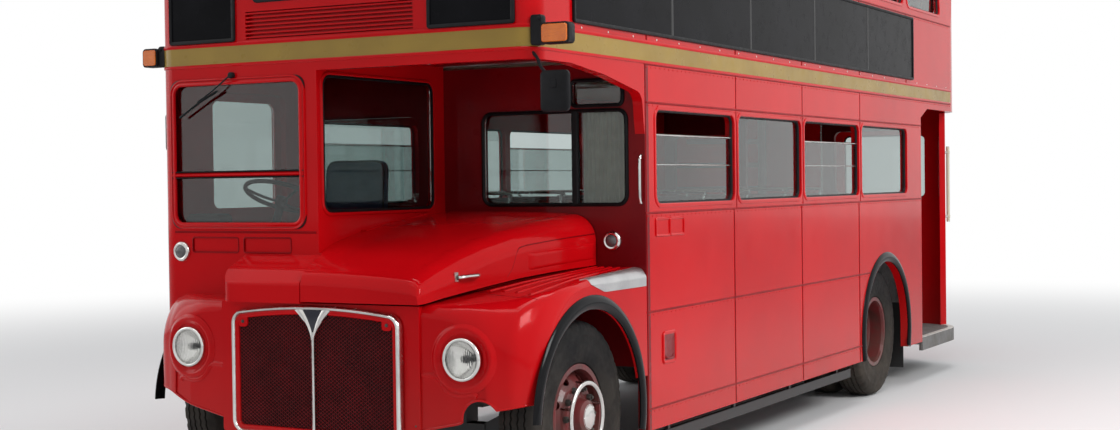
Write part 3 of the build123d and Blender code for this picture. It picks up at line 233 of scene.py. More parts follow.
def smooth(points: np.ndarray, steps: int, closed: bool) -> np.ndarray:
    """Catmull-Rom curve through points: on each span the usual cubic blend of four neighbours.

    Args:
        points: Places that the curve runs through.
        steps: Places on each span.
        closed: Whether the curve is a loop.

    Returns:
        The places on the curve, one row each.
    """
    if len(points) < 3 and not closed:
        return points[0] + np.linspace(0, 1, 2)[:, None] * (points[1] - points[0])
    around = np.concatenate([points[-1:], points, points[:2]]) if closed else np.concatenate(
        [2 * points[:1] - points[1:2], points, 2 * points[-1:] - points[-2:-1]])
    spans = len(points) if closed else len(points) - 1
    t = np.linspace(0, 1, steps, endpoint=False)[None, :, None]
    p0, p1, p2, p3 = (around[i:i + spans, None] for i in range(4))
    curve = 0.5 * (2 * p1 + (p2 - p0) * t + (2 * p0 - 5 * p1 + 4 * p2 - p3) * t**2
                   + (3 * p1 - p0 - 3 * p2 + p3) * t**3)
    curve = curve.reshape(-1, points.shape[1])
    return curve if closed else np.concatenate([curve, points[-1:]])


def eased(where: np.ndarray, stops: Sequence[float], values: np.ndarray) -> np.ndarray:
    """Smooth curve through values at uneven stops: a cubic on each span, with the slopes of its neighbours.

    Args:
        where: Places asked for.
        stops: Rising places of the values.
        values: Values at the stops, of any shape after the first axis.

    Returns:
        The values at each place.
    """
    stops, values = np.asarray(stops, float), np.asarray(values, float)
    slope = np.gradient(values, stops, axis=0)
    place = np.clip(np.asarray(where, float), stops[0], stops[-1])
    left = np.clip(np.searchsorted(stops, place, side="right") - 1, 0, len(stops) - 2)
    span = stops[left + 1] - stops[left]
    t = (place - stops[left]) / span
    more = (1,) * (values.ndim - 1)
    t, span = t.reshape(t.shape + more), span.reshape(span.shape + more)
    return ((1 + 2 * t) * (1 - t)**2 * values[left] + t * (1 - t)**2 * span * slope[left]
            + t**2 * (3 - 2 * t) * values[left + 1] - t**2 * (1 - t) * span * slope[left + 1])


def corner_arc(points: np.ndarray, corner: int, radius: float, steps: int) -> tuple[np.ndarray, np.ndarray]:
    """Arc that rounds one corner of a line and touches both of its sides.

    Its centre lies on the corner's bisector, at radius / sin(half the angle between the sides).

    Args:
        points: Corners of the line.
        corner: Number of the corner to round.
        radius: Radius of the arc, made smaller where a side is too short for it.
        steps: Places on the arc.

    Returns:
        The places on the arc and the outward direction at each.
    """
    tip = points[corner]
    before, after = points[corner - 1] - tip, points[corner + 1] - tip
    reach = min(np.linalg.norm(before), np.linalg.norm(after))
    before, after = unit(before), unit(after)
    half = 0.5 * math.acos(float(before @ after))
    radius = min(radius, 0.98 * reach * math.tan(half))
    centre = tip + unit(before + after) * radius / math.sin(half)
    start, end = (tip + way * radius / math.tan(half) - centre for way in (before, after))
    first = math.atan2(start[1], start[0])
    sweep = (math.atan2(end[1], end[0]) - first + math.pi) % TURN - math.pi
    angle = first + sweep * np.linspace(0, 1, steps)
    out = np.stack([np.cos(angle), np.sin(angle)], -1)
    return centre + radius * out, out


def two_faced(face: np.ndarray, back: np.ndarray, closed: bool = False) -> Shape:
    """Closed sheet between an outer and an inner face whose places answer to each other."""
    return loft(np.concatenate([face, back[:, ::-1]], 1), closed)


def shrunk(loop: np.ndarray, share: float) -> np.ndarray:
    """Outline drawn in towards its middle to a share of its size."""
    middle = loop.mean(0)
    return middle + (loop - middle) * share


def plate(loop: np.ndarray, levels: Pairs) -> Shape:
    """Block along Y: its outline at each pair of a share of its size and a station.

    Args:
        loop: The outline as (x, height) rows.
        levels: The pairs, from one end to the other.

    Returns:
        The closed surface.
    """
    rings = [(shrunk(loop, share), station) for share, station in levels]
    return loft(np.stack([points_at(ring[:, 0], station, ring[:, 1]) for ring, station in rings]))


def cover(grid: np.ndarray, proud: float, deep: float, outward: Sequence[float]) -> Shape:
    """Closed skin over a grid of places: the outer face stands proud of it and the inner one lies deep.

    Args:
        grid: Places as (column, row, 3).
        proud: Distance of the outer face along the normal.
        deep: Distance of the inner face against it.
        outward: Rough outward direction, which settles the normals' sign.

    Returns:
        The closed surface.
    """
    normal = np.cross(np.gradient(grid, axis=0), np.gradient(grid, axis=1))
    normal = normal / np.maximum(np.linalg.norm(normal, axis=-1, keepdims=True), 1e-12)
    normal = normal * np.sign((normal * np.asarray(outward)).sum(-1).sum())
    return two_faced(grid + proud * normal, grid - deep * normal)


def moulding(path: np.ndarray, across: np.ndarray, lift: np.ndarray, section: Pairs,
             closed: bool = False) -> Shape:
    """Section carried along a path: path + across·a + lift·b for each (a, b) of the section.

    Args:
        path: Points along the moulding.
        across: Sideways direction at each point.
        lift: Direction out of the surface at each point.
        section: Closed outline of the moulding.
        closed: Whether the path is a loop.

    Returns:
        The closed surface.
    """
    pairs = np.asarray(section, float)
    across = np.broadcast_to(np.asarray(across, float), path.shape)
    lift = np.broadcast_to(np.asarray(lift, float), path.shape)
    rings = path[:, None] + across[:, None] * pairs[None, :, :1] + lift[:, None] * pairs[None, :, 1:]
    return loft(rings, closed)


def blocks(lows: Sequence[Sequence[float]], highs: Sequence[Sequence[float]]) -> Shape:
    """Boxes between pairs of corners, all made at once."""
    low, high = np.asarray(lows, float), np.asarray(highs, float)
    low, high = np.minimum(low, high), np.maximum(low, high)
    pick = np.array([(0, 0, 0), (1, 0, 0), (1, 1, 0), (0, 1, 0),
                     (0, 0, 1), (1, 0, 1), (1, 1, 1), (0, 1, 1)])
    points = np.where(pick[None] == 0, low[:, None], high[:, None]).reshape(-1, 3)
    sides = np.array([(0, 3, 2, 1), (4, 5, 6, 7), (0, 1, 5, 4), (1, 2, 6, 5), (2, 3, 7, 6), (3, 0, 4, 7)])
    quads = (sides[None] + 8 * np.arange(len(low))[:, None, None]).reshape(-1, 4)
    return Shape(points, quads)


def domes(places: np.ndarray, outward: Sequence[float], radius: float, height: float,
          sides: int = 8) -> Shape:
    """Rivet heads: three shrinking rings and a top point at each place, all made at once.

    Args:
        places: Middle of each head's foot.
        outward: Direction that the heads stand out in.
        radius: Radius of a foot.
        height: Height of a head.
        sides: Places round a head.

    Returns:
        All the heads as one shape.
    """
    places = np.asarray(places, float).reshape(-1, 3)
    first, second, third = frame_of(outward)
    rim = circle(sides) @ np.stack([second, third])
    levels = [(0.0, 1.0), (0.6, 0.85), (0.9, 0.5)]
    one = np.concatenate([rim * radius * share + first * height * level for level, share in levels]
                         + [(first * height)[None], np.zeros((1, 3))])
    quads = grid_quads(3, sides, False, True)
    here = np.arange(sides)
    after = (here + 1) % sides
    top = np.stack([here + 2 * sides, after + 2 * sides, np.full(sides, 3 * sides)], -1)
    base = np.stack([after, here, np.full(sides, 3 * sides + 1)], -1)
    single = Shape(one, quads, np.concatenate([top, base])).outward()
    count, size = len(places), len(one)
    shift = size * np.arange(count)[:, None, None]
    return Shape((places[:, None] + single.points[None]).reshape(-1, 3),
                 (single.quads[None] + shift).reshape(-1, 4), (single.tris[None] + shift).reshape(-1, 3))


# Walls of the body


class Wall(Enum):
    """A face of the bus that fittings sit on."""

    NEARSIDE = 1
    OFFSIDE = -1
    FRONT = 2
    REAR = -2


SIDES = (Wall.NEARSIDE, Wall.OFFSIDE)


def wall_depth(wall: Wall, height: np.ndarray) -> np.ndarray:
    """How far the painted face stands out at a height: it leans in above the upper waist."""
    if wall in SIDES:
        return HALF_WIDTH - 0.034 * np.clip((height - 3.12) / 0.68, 0, 1)
    return 0.09 * np.clip(height - 3.6, 0, 0.73) / 0.73


def on_wall(wall: Wall, across: np.ndarray, height: np.ndarray, proud: np.ndarray | float = 0.0,
            base: Optional[float] = None) -> np.ndarray:
    """Points on a wall.

    Args:
        wall: The face.
        across: Station on a side, X on an end.
        height: Height above the ground.
        proud: Distance out from the face.
        base: X of a side face, or station of an end face, where it isn't the body's own.

    Returns:
        The points, one row each.
    """
    across, height = np.broadcast_arrays(np.asarray(across, float), np.asarray(height, float))
    depth = wall_depth(wall, height)
    if wall in SIDES:
        reach = (depth if base is None else base) + proud
        return points_at(wall.value * reach, across, height)
    if wall is Wall.FRONT:
        station = (DECK_FRONT + depth if base is None else base) - proud
    else:
        station = (LENGTH - depth if base is None else base) + proud
    return points_at(across, station, height)


def rounded_loop(span: Sequence[float], radius: float, steps: int = 7) -> tuple[np.ndarray, np.ndarray]:
    """Rectangle with round corners.

    Args:
        span: Low and high across, then low and high height.
        radius: Radius of the corners.
        steps: Places on each corner.

    Returns:
        The points of the loop and the outward direction at each.
    """
    low_u, high_u, low_v, high_v = span
    centres = np.array([(high_u - radius, high_v - radius), (low_u + radius, high_v - radius),
                        (low_u + radius, low_v + radius), (high_u - radius, low_v + radius)])
    angle = np.linspace(0, math.pi / 2, steps)[None] + np.arange(4)[:, None] * math.pi / 2
    out = np.stack([np.cos(angle), np.sin(angle)], -1)
    return (centres[:, None] + radius * out).reshape(-1, 2), out.reshape(-1, 2)


def wall_moulding(wall: Wall, line: np.ndarray, out: np.ndarray, section: Pairs, base: Optional[float],
                  closed: bool) -> Shape:
    """Section carried along a line of a wall: line + out·a, standing b proud, for each (a, b).

    Args:
        wall: The face.
        line: The line as (across, height) rows.
        out: Sideways direction, one or one for each place.
        section: Outline of the moulding.
        base: As for on_wall.
        closed: Whether the line is a loop.

    Returns:
        The closed surface.
    """
    pairs = np.asarray(section, float)
    flat = line[:, None] + out * pairs[None, :, :1]
    return loft(on_wall(wall, flat[..., 0], flat[..., 1], pairs[None, :, 1], base), closed)


def surround(wall: Wall, span: Sequence[float], radius: float, section: Pairs,
             base: Optional[float] = None) -> Shape:
    """Moulding round a window: each (outward, proud) pair of the section runs round the loop.

    Args:
        wall: The face.
        span: Low and high across, then low and high height.
        radius: Radius of the loop's corners.
        section: Closed outline of the moulding.
        base: As for on_wall.

    Returns:
        The closed surface.
    """
    loop, out = rounded_loop(span, radius)
    return wall_moulding(wall, loop, out[:, None], section, base, True)


def rail(wall: Wall, start: tuple[float, float], end: tuple[float, float], half: float, proud: float,
         base: Optional[float] = None) -> Shape:
    """Half-round bead between two (across, height) points of a wall.

    Args:
        wall: The face.
        start: First point.
        end: Last point.
        half: Half the bead's width.
        proud: How far its middle stands out.
        base: As for on_wall.

    Returns:
        The closed surface.
    """
    ends = np.array([start, end])
    ahead = unit(ends[1] - ends[0])
    angle = np.linspace(0, math.pi, 6)
    section = np.stack([half * np.cos(angle), proud * np.sin(angle)], -1)
    section = np.concatenate([section, [(-half, -0.002), (half, -0.002)]])
    return wall_moulding(wall, ends, np.array([-ahead[1], ahead[0]]), section, base, False)


# Finishes


def math_node(tree: Tree, operation: str, first: Socket, second: Socket) -> Socket:
    """Result of a sum on two sockets."""
    made = tree.nodes.new("ShaderNodeMath")
    made.operation = operation
    tree.links.new(first, made.inputs[0])
    tree.links.new(second, made.inputs[1])
    return made.outputs[0]


def map_range(tree: Tree, value: Socket, low: float, high: float, to_low: float, to_high: float,
              easing: str = "LINEAR") -> Socket:
    """Value carried from one range to another and held inside it.

    Args:
        tree: Node tree of the material.
        value: The value's socket.
        low: Start of the first range.
        high: End of the first range.
        to_low: What the start becomes.
        to_high: What the end becomes.
        easing: Kind of change between the ends.

    Returns:
        Socket of the result.
    """
    ranged = tree.nodes.new("ShaderNodeMapRange")
    ranged.interpolation_type = easing
    for socket, number in zip(("From Min", "From Max", "To Min", "To Max"), (low, high, to_low, to_high)):
        ranged.inputs[socket].default_value = number
    tree.links.new(value, ranged.inputs["Value"])
    return ranged.outputs["Result"]


class Pattern(Enum):
    """What a finish carries on top of its colour."""

    PLAIN = "plain"
    WEAVE = "weave"
    RIBBED = "ribbed"
    BRUSHED = "brushed"
    FLUTED = "fluted"


@dataclass(frozen=True)
class Finish:
    """Surface finish, worked out from Object coordinates.

    Attributes:
        name: Name of the material.
        slot: The record's material slot; not used by this script.
        colour: Main colour.
        shade: Second colour, mixed in by soft patches.
        rough: Lowest and highest roughness.
        grain: Scale of the patches.
        metallic: Share of metal.
        coat: Weight of the clear coat.
        specular: Strength of the plain reflection.
        sheen_tint: Colour of the plain reflection seen straight on.
        bump: Height of the fine unevenness in metres.
        bump_grain: Scale of the unevenness.
        dust: Share of road dust near the ground.
        clear: Share of light let through.
        pattern: What the finish carries on top.
    """

    name: str
    slot: str
    colour: Colour
    shade: Colour
    rough: tuple[float, float] = (0.2, 0.35)
    grain: float = 2.0
    metallic: float = 0.0
    coat: float = 0.0
    specular: float = 0.25
    sheen_tint: Colour = (1.0, 1.0, 1.0)
    bump: float = 0.0
    bump_grain: float = 60.0
    dust: float = 0.0
    clear: float = 0.0
    pattern: Pattern = Pattern.PLAIN

    def material(self) -> bpy.types.Material:
        """The Blender material of this finish, made once."""
        found = bpy.data.materials.get(self.name)
        if found is not None:
            return found
        made = bpy.data.materials.new(self.name)
        made.use_nodes = True
        self._wire(made.node_tree)
        return made

    def _wire(self, tree: Tree) -> None:
        """Join the shader's sockets to noise, patches, dust and bump.

        Args:
            tree: Node tree of the new material.
        """
        nodes, links = tree.nodes, tree.links
        shader = nodes["Principled BSDF"]
        shader.inputs["Metallic"].default_value = self.metallic
        shader.inputs["Coat Weight"].default_value = self.coat
        shader.inputs["Specular IOR Level"].default_value = self.specular
        shader.inputs["Specular Tint"].default_value = (*self.sheen_tint, 1.0)
        shader.inputs["Coat Roughness"].default_value = 0.04
        shader.inputs["Transmission Weight"].default_value = self.clear
        place = nodes.new("ShaderNodeTexCoord").outputs["Object"]
        patches = self._noise(tree, place, self.grain, 4.0)
        colour = self._blend(tree, patches, self.colour, self.shade)
        if self.pattern is Pattern.WEAVE:
            colour = self._weave(tree, place, colour)
        if self.dust > 0:
            colour = self._dusted(tree, place, patches, colour)
        links.new(colour, shader.inputs["Base Color"])
        rough = map_range(tree, self._noise(tree, place, self.grain * 5, 5.0), 0.3, 0.7, *self.rough)
        links.new(rough, shader.inputs["Roughness"])
        height = self._height(tree, place)
        if self.bump > 0:
            bump = nodes.new("ShaderNodeBump")
            bump.inputs["Strength"].default_value = 1.0
            bump.inputs["Distance"].default_value = self.bump
            links.new(height, bump.inputs["Height"])
            links.new(bump.outputs["Normal"], shader.inputs["Normal"])

    @staticmethod
    def _noise(tree: Tree, place: Socket, scale: float,
               detail: float) -> Socket:
        """Noise value at a place."""
        noise = tree.nodes.new("ShaderNodeTexNoise")
        noise.inputs["Scale"].default_value = scale
        noise.inputs["Detail"].default_value = detail
        tree.links.new(place, noise.inputs["Vector"])
        return noise.outputs["Fac"]

    @staticmethod
    def _mix(tree: Tree, share: Socket, first: Socket | Colour,
             second: Socket | Colour) -> Socket:
        """Colour between two colours or sockets.

        Args:
            tree: Node tree of the material.
            share: Socket of the second one's share.
            first: First colour or its socket.
            second: Second colour or its socket.

        Returns:
            Socket of the mixed colour.
        """
        mix = tree.nodes.new("ShaderNodeMix")
        mix.data_type = "RGBA"
        tree.links.new(share, mix.inputs[0])
        for socket, value in ((mix.inputs[6], first), (mix.inputs[7], second)):
            if isinstance(value, tuple):
                socket.default_value = (*value, 1.0)
            else:
                tree.links.new(value, socket)
        return mix.outputs[2]

    def _blend(self, tree: Tree, patches: Socket, first: Colour,
               second: Colour) -> Socket:
        """The two colours of the finish mixed by its patches."""
        return self._mix(tree, map_range(tree, patches, 0.35, 0.7, 0.0, 1.0), first, second)

    def _dusted(self, tree: Tree, place: Socket,
                patches: Socket, colour: Socket) -> Socket:
        """Road dust that fades out upwards, broken up by the patches."""
        split = tree.nodes.new("ShaderNodeSeparateXYZ")
        tree.links.new(place, split.inputs["Vector"])
        low = map_range(tree, split.outputs["Z"], 0.2, 0.9, self.dust, 0.0)
        share = math_node(tree, "MULTIPLY", low, patches)
        return self._mix(tree, share, colour, (0.21, 0.17, 0.13))

    def _weave(self, tree: Tree, place: Socket,
               colour: Socket) -> Socket:
        """Small check of a darker and a paler thread over the colour."""
        check = tree.nodes.new("ShaderNodeTexChecker")
        check.inputs["Scale"].default_value = 28.0
        tree.links.new(place, check.inputs["Vector"])
        return self._mix(tree, map_range(tree, check.outputs["Fac"], 0.0, 1.0, 0.0, 0.6), colour,
                         (0.06, 0.08, 0.05))

    def _height(self, tree: Tree, place: Socket) -> Socket:
        """Height of the fine unevenness: noise, or waves for a ribbed, brushed or fluted finish."""
        if self.pattern in (Pattern.PLAIN, Pattern.WEAVE):
            return self._noise(tree, place, self.bump_grain, 3.0)
        wave = tree.nodes.new("ShaderNodeTexWave")
        wave.bands_direction = "X" if self.pattern is Pattern.RIBBED else "Z"
        wave.inputs["Scale"].default_value = self.bump_grain
        wave.inputs["Distortion"].default_value = 2.0 if self.pattern is Pattern.BRUSHED else 0.0
        tree.links.new(place, wave.inputs["Vector"])
        return wave.outputs["Fac"]


RED_SHEEN = (1.0, 0.25, 0.25)
RED = Finish("coachwork_red", "red_paint", (0.60, 0.003, 0.006), (0.50, 0.002, 0.005), (0.10, 0.20), 1.3,
             coat=0.12, specular=0.18, sheen_tint=RED_SHEEN, bump=0.0010, bump_grain=3.0, dust=0.20)
ROOF_RED = Finish("roof_red", "red_paint", (0.60, 0.003, 0.006), (0.50, 0.002, 0.005), (0.45, 0.60), 1.3,
                  specular=0.04, sheen_tint=RED_SHEEN, bump=0.0010, bump_grain=3.0, dust=0.20)
# Painted shade: this darker red on raised beads and flap edges stands in for their shadow lines, together
# with the dark joints under them.
SEAM_AND_SHADE_RED = Finish("seam_and_shade_red", "shaded_red", (0.30, 0.003, 0.006), (0.22, 0.002, 0.005), (0.3, 0.45), 6.0,
                  specular=0.12, sheen_tint=RED_SHEEN, bump=0.0004, bump_grain=40.0, dust=0.2)
# Painted shade: red darkened to the colour of panels lying in shade, for the bulkheads and upper floor; it
# also draws the dark joint lines of the wing and bonnet.
PANEL_SHADE_AND_SEAM_RED = Finish("shaded_panel_red", "shaded_red", (0.21, 0.002, 0.005), (0.15, 0.002, 0.005),
                   (0.26, 0.42), 2.5, coat=0.1, sheen_tint=RED_SHEEN, bump=0.0008, bump_grain=7.0,
                   dust=0.2)
MAROON = Finish("wheel_enamel", "wheel_maroon", (0.16, 0.012, 0.016), (0.07, 0.012, 0.012), (0.3, 0.55),
                9.0, coat=0.3, bump=0.0006, bump_grain=40.0, dust=0.5)
GOLD = Finish("old_gold_paint", "gold_paint", (0.34, 0.215, 0.030), (0.28, 0.175, 0.026), (0.25, 0.42), 3.0,
              coat=0.2, bump=0.0004, bump_grain=9.0)
BOARD = Finish("bare_black_board", "black_board", (0.005, 0.005, 0.006), (0.009, 0.009, 0.011), (0.16, 0.30),
               3.0, specular=0.04, bump=0.0003, bump_grain=4.0)
ARCH_BLACK = Finish("glossy_arch_rubber", "rubber", (0.004, 0.004, 0.005), (0.008, 0.008, 0.009),
                    (0.10, 0.20), 5.0, coat=0.06, specular=0.10, bump=0.0004, bump_grain=14.0)
CHASSIS = Finish("chassis_black", "chassis_black", (0.02, 0.02, 0.021), (0.05, 0.045, 0.04), (0.45, 0.7),
                 6.0, bump=0.0008, bump_grain=50.0, dust=0.5)
IRON = Finish("bare_iron", "casting", (0.11, 0.105, 0.1), (0.06, 0.055, 0.05), (0.5, 0.75), 8.0,
              metallic=0.6, bump=0.001, bump_grain=70.0, dust=0.4)
TYRE = Finish("tyre_rubber", "tyre", (0.010, 0.010, 0.011), (0.022, 0.021, 0.020), (0.6, 0.85), 7.0,
              specular=0.12, bump=0.0007, bump_grain=120.0, dust=0.35)
RUBBER = Finish("black_rubber", "rubber", (0.006, 0.006, 0.007), (0.011, 0.011, 0.012), (0.32, 0.5), 8.0,
                specular=0.12, bump=0.0003, bump_grain=90.0, dust=0.2)
POLISHED = Finish("polished_metal", "polished", (0.72, 0.71, 0.69), (0.55, 0.54, 0.52), (0.12, 0.28), 6.0,
                  metallic=1.0, bump=0.0003, bump_grain=30.0)
MESH = Finish("mesh_dark_red", "mesh_red", (0.25, 0.010, 0.014), (0.17, 0.008, 0.011), (0.35, 0.55), 8.0,
              coat=0.2, bump=0.0004, bump_grain=60.0)
MESH_BACK = Finish("mesh_backing", "mesh_red", (0.022, 0.004, 0.005), (0.012, 0.003, 0.003), (0.6, 0.8), 8.0,
                   bump=0.0004, bump_grain=60.0)
BADGE = Finish("bare_badge_enamel", "black_board", (0.008, 0.009, 0.020), (0.013, 0.014, 0.026), (0.15, 0.3),
               9.0, coat=0.6, bump=0.0002, bump_grain=60.0)
DRIVER_CLOTH = Finish("driver_seat_cloth", "moquette", (0.035, 0.06, 0.13), (0.025, 0.04, 0.09),
                      (0.8, 0.95), 12.0, bump=0.001, bump_grain=260.0)
# Painted shade: a strong grey-green tint on the glass darkens the saloon seen through it, as if in shade.
SHADE_TINTED_GLASS = Finish("window_glass", "glass", (0.50, 0.56, 0.55), (0.46, 0.53, 0.52), (0.0, 0.02), 1.0,
               specular=0.30, clear=1.0)
LENS = Finish("lamp_lens", "lamp_glass", (0.93, 0.93, 0.91), (0.88, 0.88, 0.86), (0.02, 0.06), 4.0,
              clear=1.0, bump=0.0008, bump_grain=28.0, pattern=Pattern.RIBBED)
AMBER = Finish("amber_lens", "lamp_glass", (0.85, 0.20, 0.01), (0.70, 0.14, 0.008), (0.15, 0.25), 9.0,
               coat=0.8, bump=0.001, bump_grain=36.0, pattern=Pattern.FLUTED)
TAIL = Finish("red_lens", "lamp_glass", (0.55, 0.005, 0.005), (0.42, 0.004, 0.004), (0.12, 0.22), 9.0,
              coat=0.15, specular=0.2, sheen_tint=(1.0, 0.3, 0.3), bump=0.001, bump_grain=36.0,
              pattern=Pattern.FLUTED)
PLASTIC = Finish("black_fitting", "black_plastic", (0.008, 0.008, 0.009), (0.014, 0.014, 0.016),
                 (0.35, 0.55), 9.0, specular=0.12, bump=0.0003, bump_grain=90.0)
MOQUETTE = Finish("seat_moquette", "moquette", (0.28, 0.035, 0.03), (0.20, 0.03, 0.025), (0.8, 0.95),
                  12.0, bump=0.001, bump_grain=260.0, pattern=Pattern.WEAVE)
FLOOR = Finish("ribbed_floor", "floor_grey", (0.19, 0.19, 0.19), (0.13, 0.125, 0.12), (0.5, 0.75), 5.0,
               bump=0.003, bump_grain=22.0, dust=0.3, pattern=Pattern.RIBBED)
CREAM = Finish("cream_enamel", "floor_grey", (0.72, 0.66, 0.50), (0.66, 0.60, 0.45), (0.3, 0.45), 3.0,
               coat=0.4, bump=0.0004, bump_grain=10.0)
CURTAIN = Finish("cream_curtain", "moquette", (0.74, 0.68, 0.55), (0.62, 0.56, 0.44), (0.8, 0.95), 14.0,
                 bump=0.0006, bump_grain=200.0)
WHITE = Finish("edge_white", "floor_grey", (0.78, 0.77, 0.73), (0.62, 0.60, 0.55), (0.4, 0.6), 12.0,
               bump=0.0005, bump_grain=60.0, dust=0.3)
HANDRAIL = Finish("handrail_metal", "handrail", (0.70, 0.70, 0.69), (0.58, 0.58, 0.57), (0.15, 0.3), 9.0,
                  metallic=1.0, bump=0.0002, bump_grain=60.0)
SILVER = Finish("satin_plate", "polished", (0.60, 0.60, 0.60), (0.50, 0.50, 0.51), (0.28, 0.42), 8.0,
                metallic=0.9, bump=0.0003, bump_grain=80.0)
SIDE_LENS = Finish("side_lamp_glass", "lamp_glass", (0.10, 0.10, 0.10), (0.055, 0.055, 0.06), (0.05, 0.12),
                   30.0, coat=0.3, specular=0.5, bump=0.0006, bump_grain=60.0, pattern=Pattern.RIBBED)
REFLECTOR = Finish("lamp_reflector", "polished", (0.82, 0.82, 0.81), (0.66, 0.66, 0.66), (0.06, 0.14),
                   6.0, metallic=1.0)

NODE_GROUPS: Sequence[tuple[Finish, str]] = (
    (CHASSIS, "chassis_frame front_axle rear_axle guard_rails"),
    (IRON, "engine_block front_nearside_knuckle front_offside_knuckle"),
    (TYRE, "front_nearside_tyre front_offside_tyre rear_nearside_tyre rear_offside_tyre"),
    (MAROON, "front_nearside_wheel front_offside_wheel rear_nearside_wheel rear_offside_wheel"),
    (FLOOR, "lower_floor rear_platform staircase"),
    (RED, "nearside_lower_side offside_lower_side lower_rear_panel cab_shell cab_door bonnet front_wings"
          " nose_panel canopy upper_front upper_sides upper_rear emergency_window"),
    # The bulkheads and upper floor take red darkened as painted shade.
    (PANEL_SHADE_AND_SEAM_RED, "saloon_bulkheads upper_floor"), (ROOF_RED, "roof"),
    # The windows take the tinted glass that darkens the saloon behind them as painted shade.
    (SHADE_TINTED_GLASS, "cab_door_glass emergency_glass window_glass"), (POLISHED, "grille_frame"),
    (MESH_BACK, "grille_mesh"), (ARCH_BLACK, "arch_trims"), (MOQUETTE, "seats"), (HANDRAIL, "handrails"),
    (PLASTIC, "cab_controls lamps mirrors"), (GOLD, "gold_band"), (BOARD, "boards"),
)
NODE_FINISHES = {name: finish for finish, names in NODE_GROUPS for name in names.split()}


# Fitting pieces to the frame


def fit_piece(name: str, shape: Shape, finish: Finish, body: str = "vehicle",
              replaced: Sequence[str] = (), soft_edges: bool = True) -> bpy.types.Object:
    """Make a mesh object from a shape and fit it to a CAD body.

    Args:
        name: Name of the piece.
        shape: Its surface.
        finish: Its finish.
        body: CAD body that it moves with.
        replaced: CAD nodes that it stands for.
        soft_edges: Whether its faces are shaded smooth.

    Returns:
        The new object.
    """
    mesh = bpy.data.meshes.new(name)
    sizes = np.concatenate([np.full(len(shape.quads), 4), np.full(len(shape.tris), 3)])
    corners = np.concatenate([shape.quads.ravel(), shape.tris.ravel()]).astype(np.int32)
    mesh.vertices.add(len(shape.points))
    mesh.vertices.foreach_set("co", shape.points.astype(np.float32).ravel())
    mesh.loops.add(len(corners))
    mesh.loops.foreach_set("vertex_index", corners)
    mesh.polygons.add(len(sizes))
    mesh.polygons.foreach_set("loop_start", (np.cumsum(sizes) - sizes).astype(np.int32))
    mesh.update(calc_edges=True)
    mesh.validate()
    mesh.materials.append(finish.material())
    if soft_edges:
        mesh.shade_smooth()
        mesh.set_sharp_from_angle(angle=SHARP)
    piece = bpy.data.objects.new(name, mesh)
    bpy.context.scene.collection.objects.link(piece)
    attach(piece, body)
    if replaced:
        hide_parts(*replaced)
    log.info("%s: %d faces on %s", name, len(sizes), body)
    return piece


def dress_nodes(nodes: dict[str, bpy.types.Object]) -> None:
    """Give every CAD node its finish.

    Args:
        nodes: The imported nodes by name.
    """
    for name, node in nodes.items():
        node.data.materials.clear()
        node.data.materials.append(NODE_FINISHES[name].material())


# Road wheels


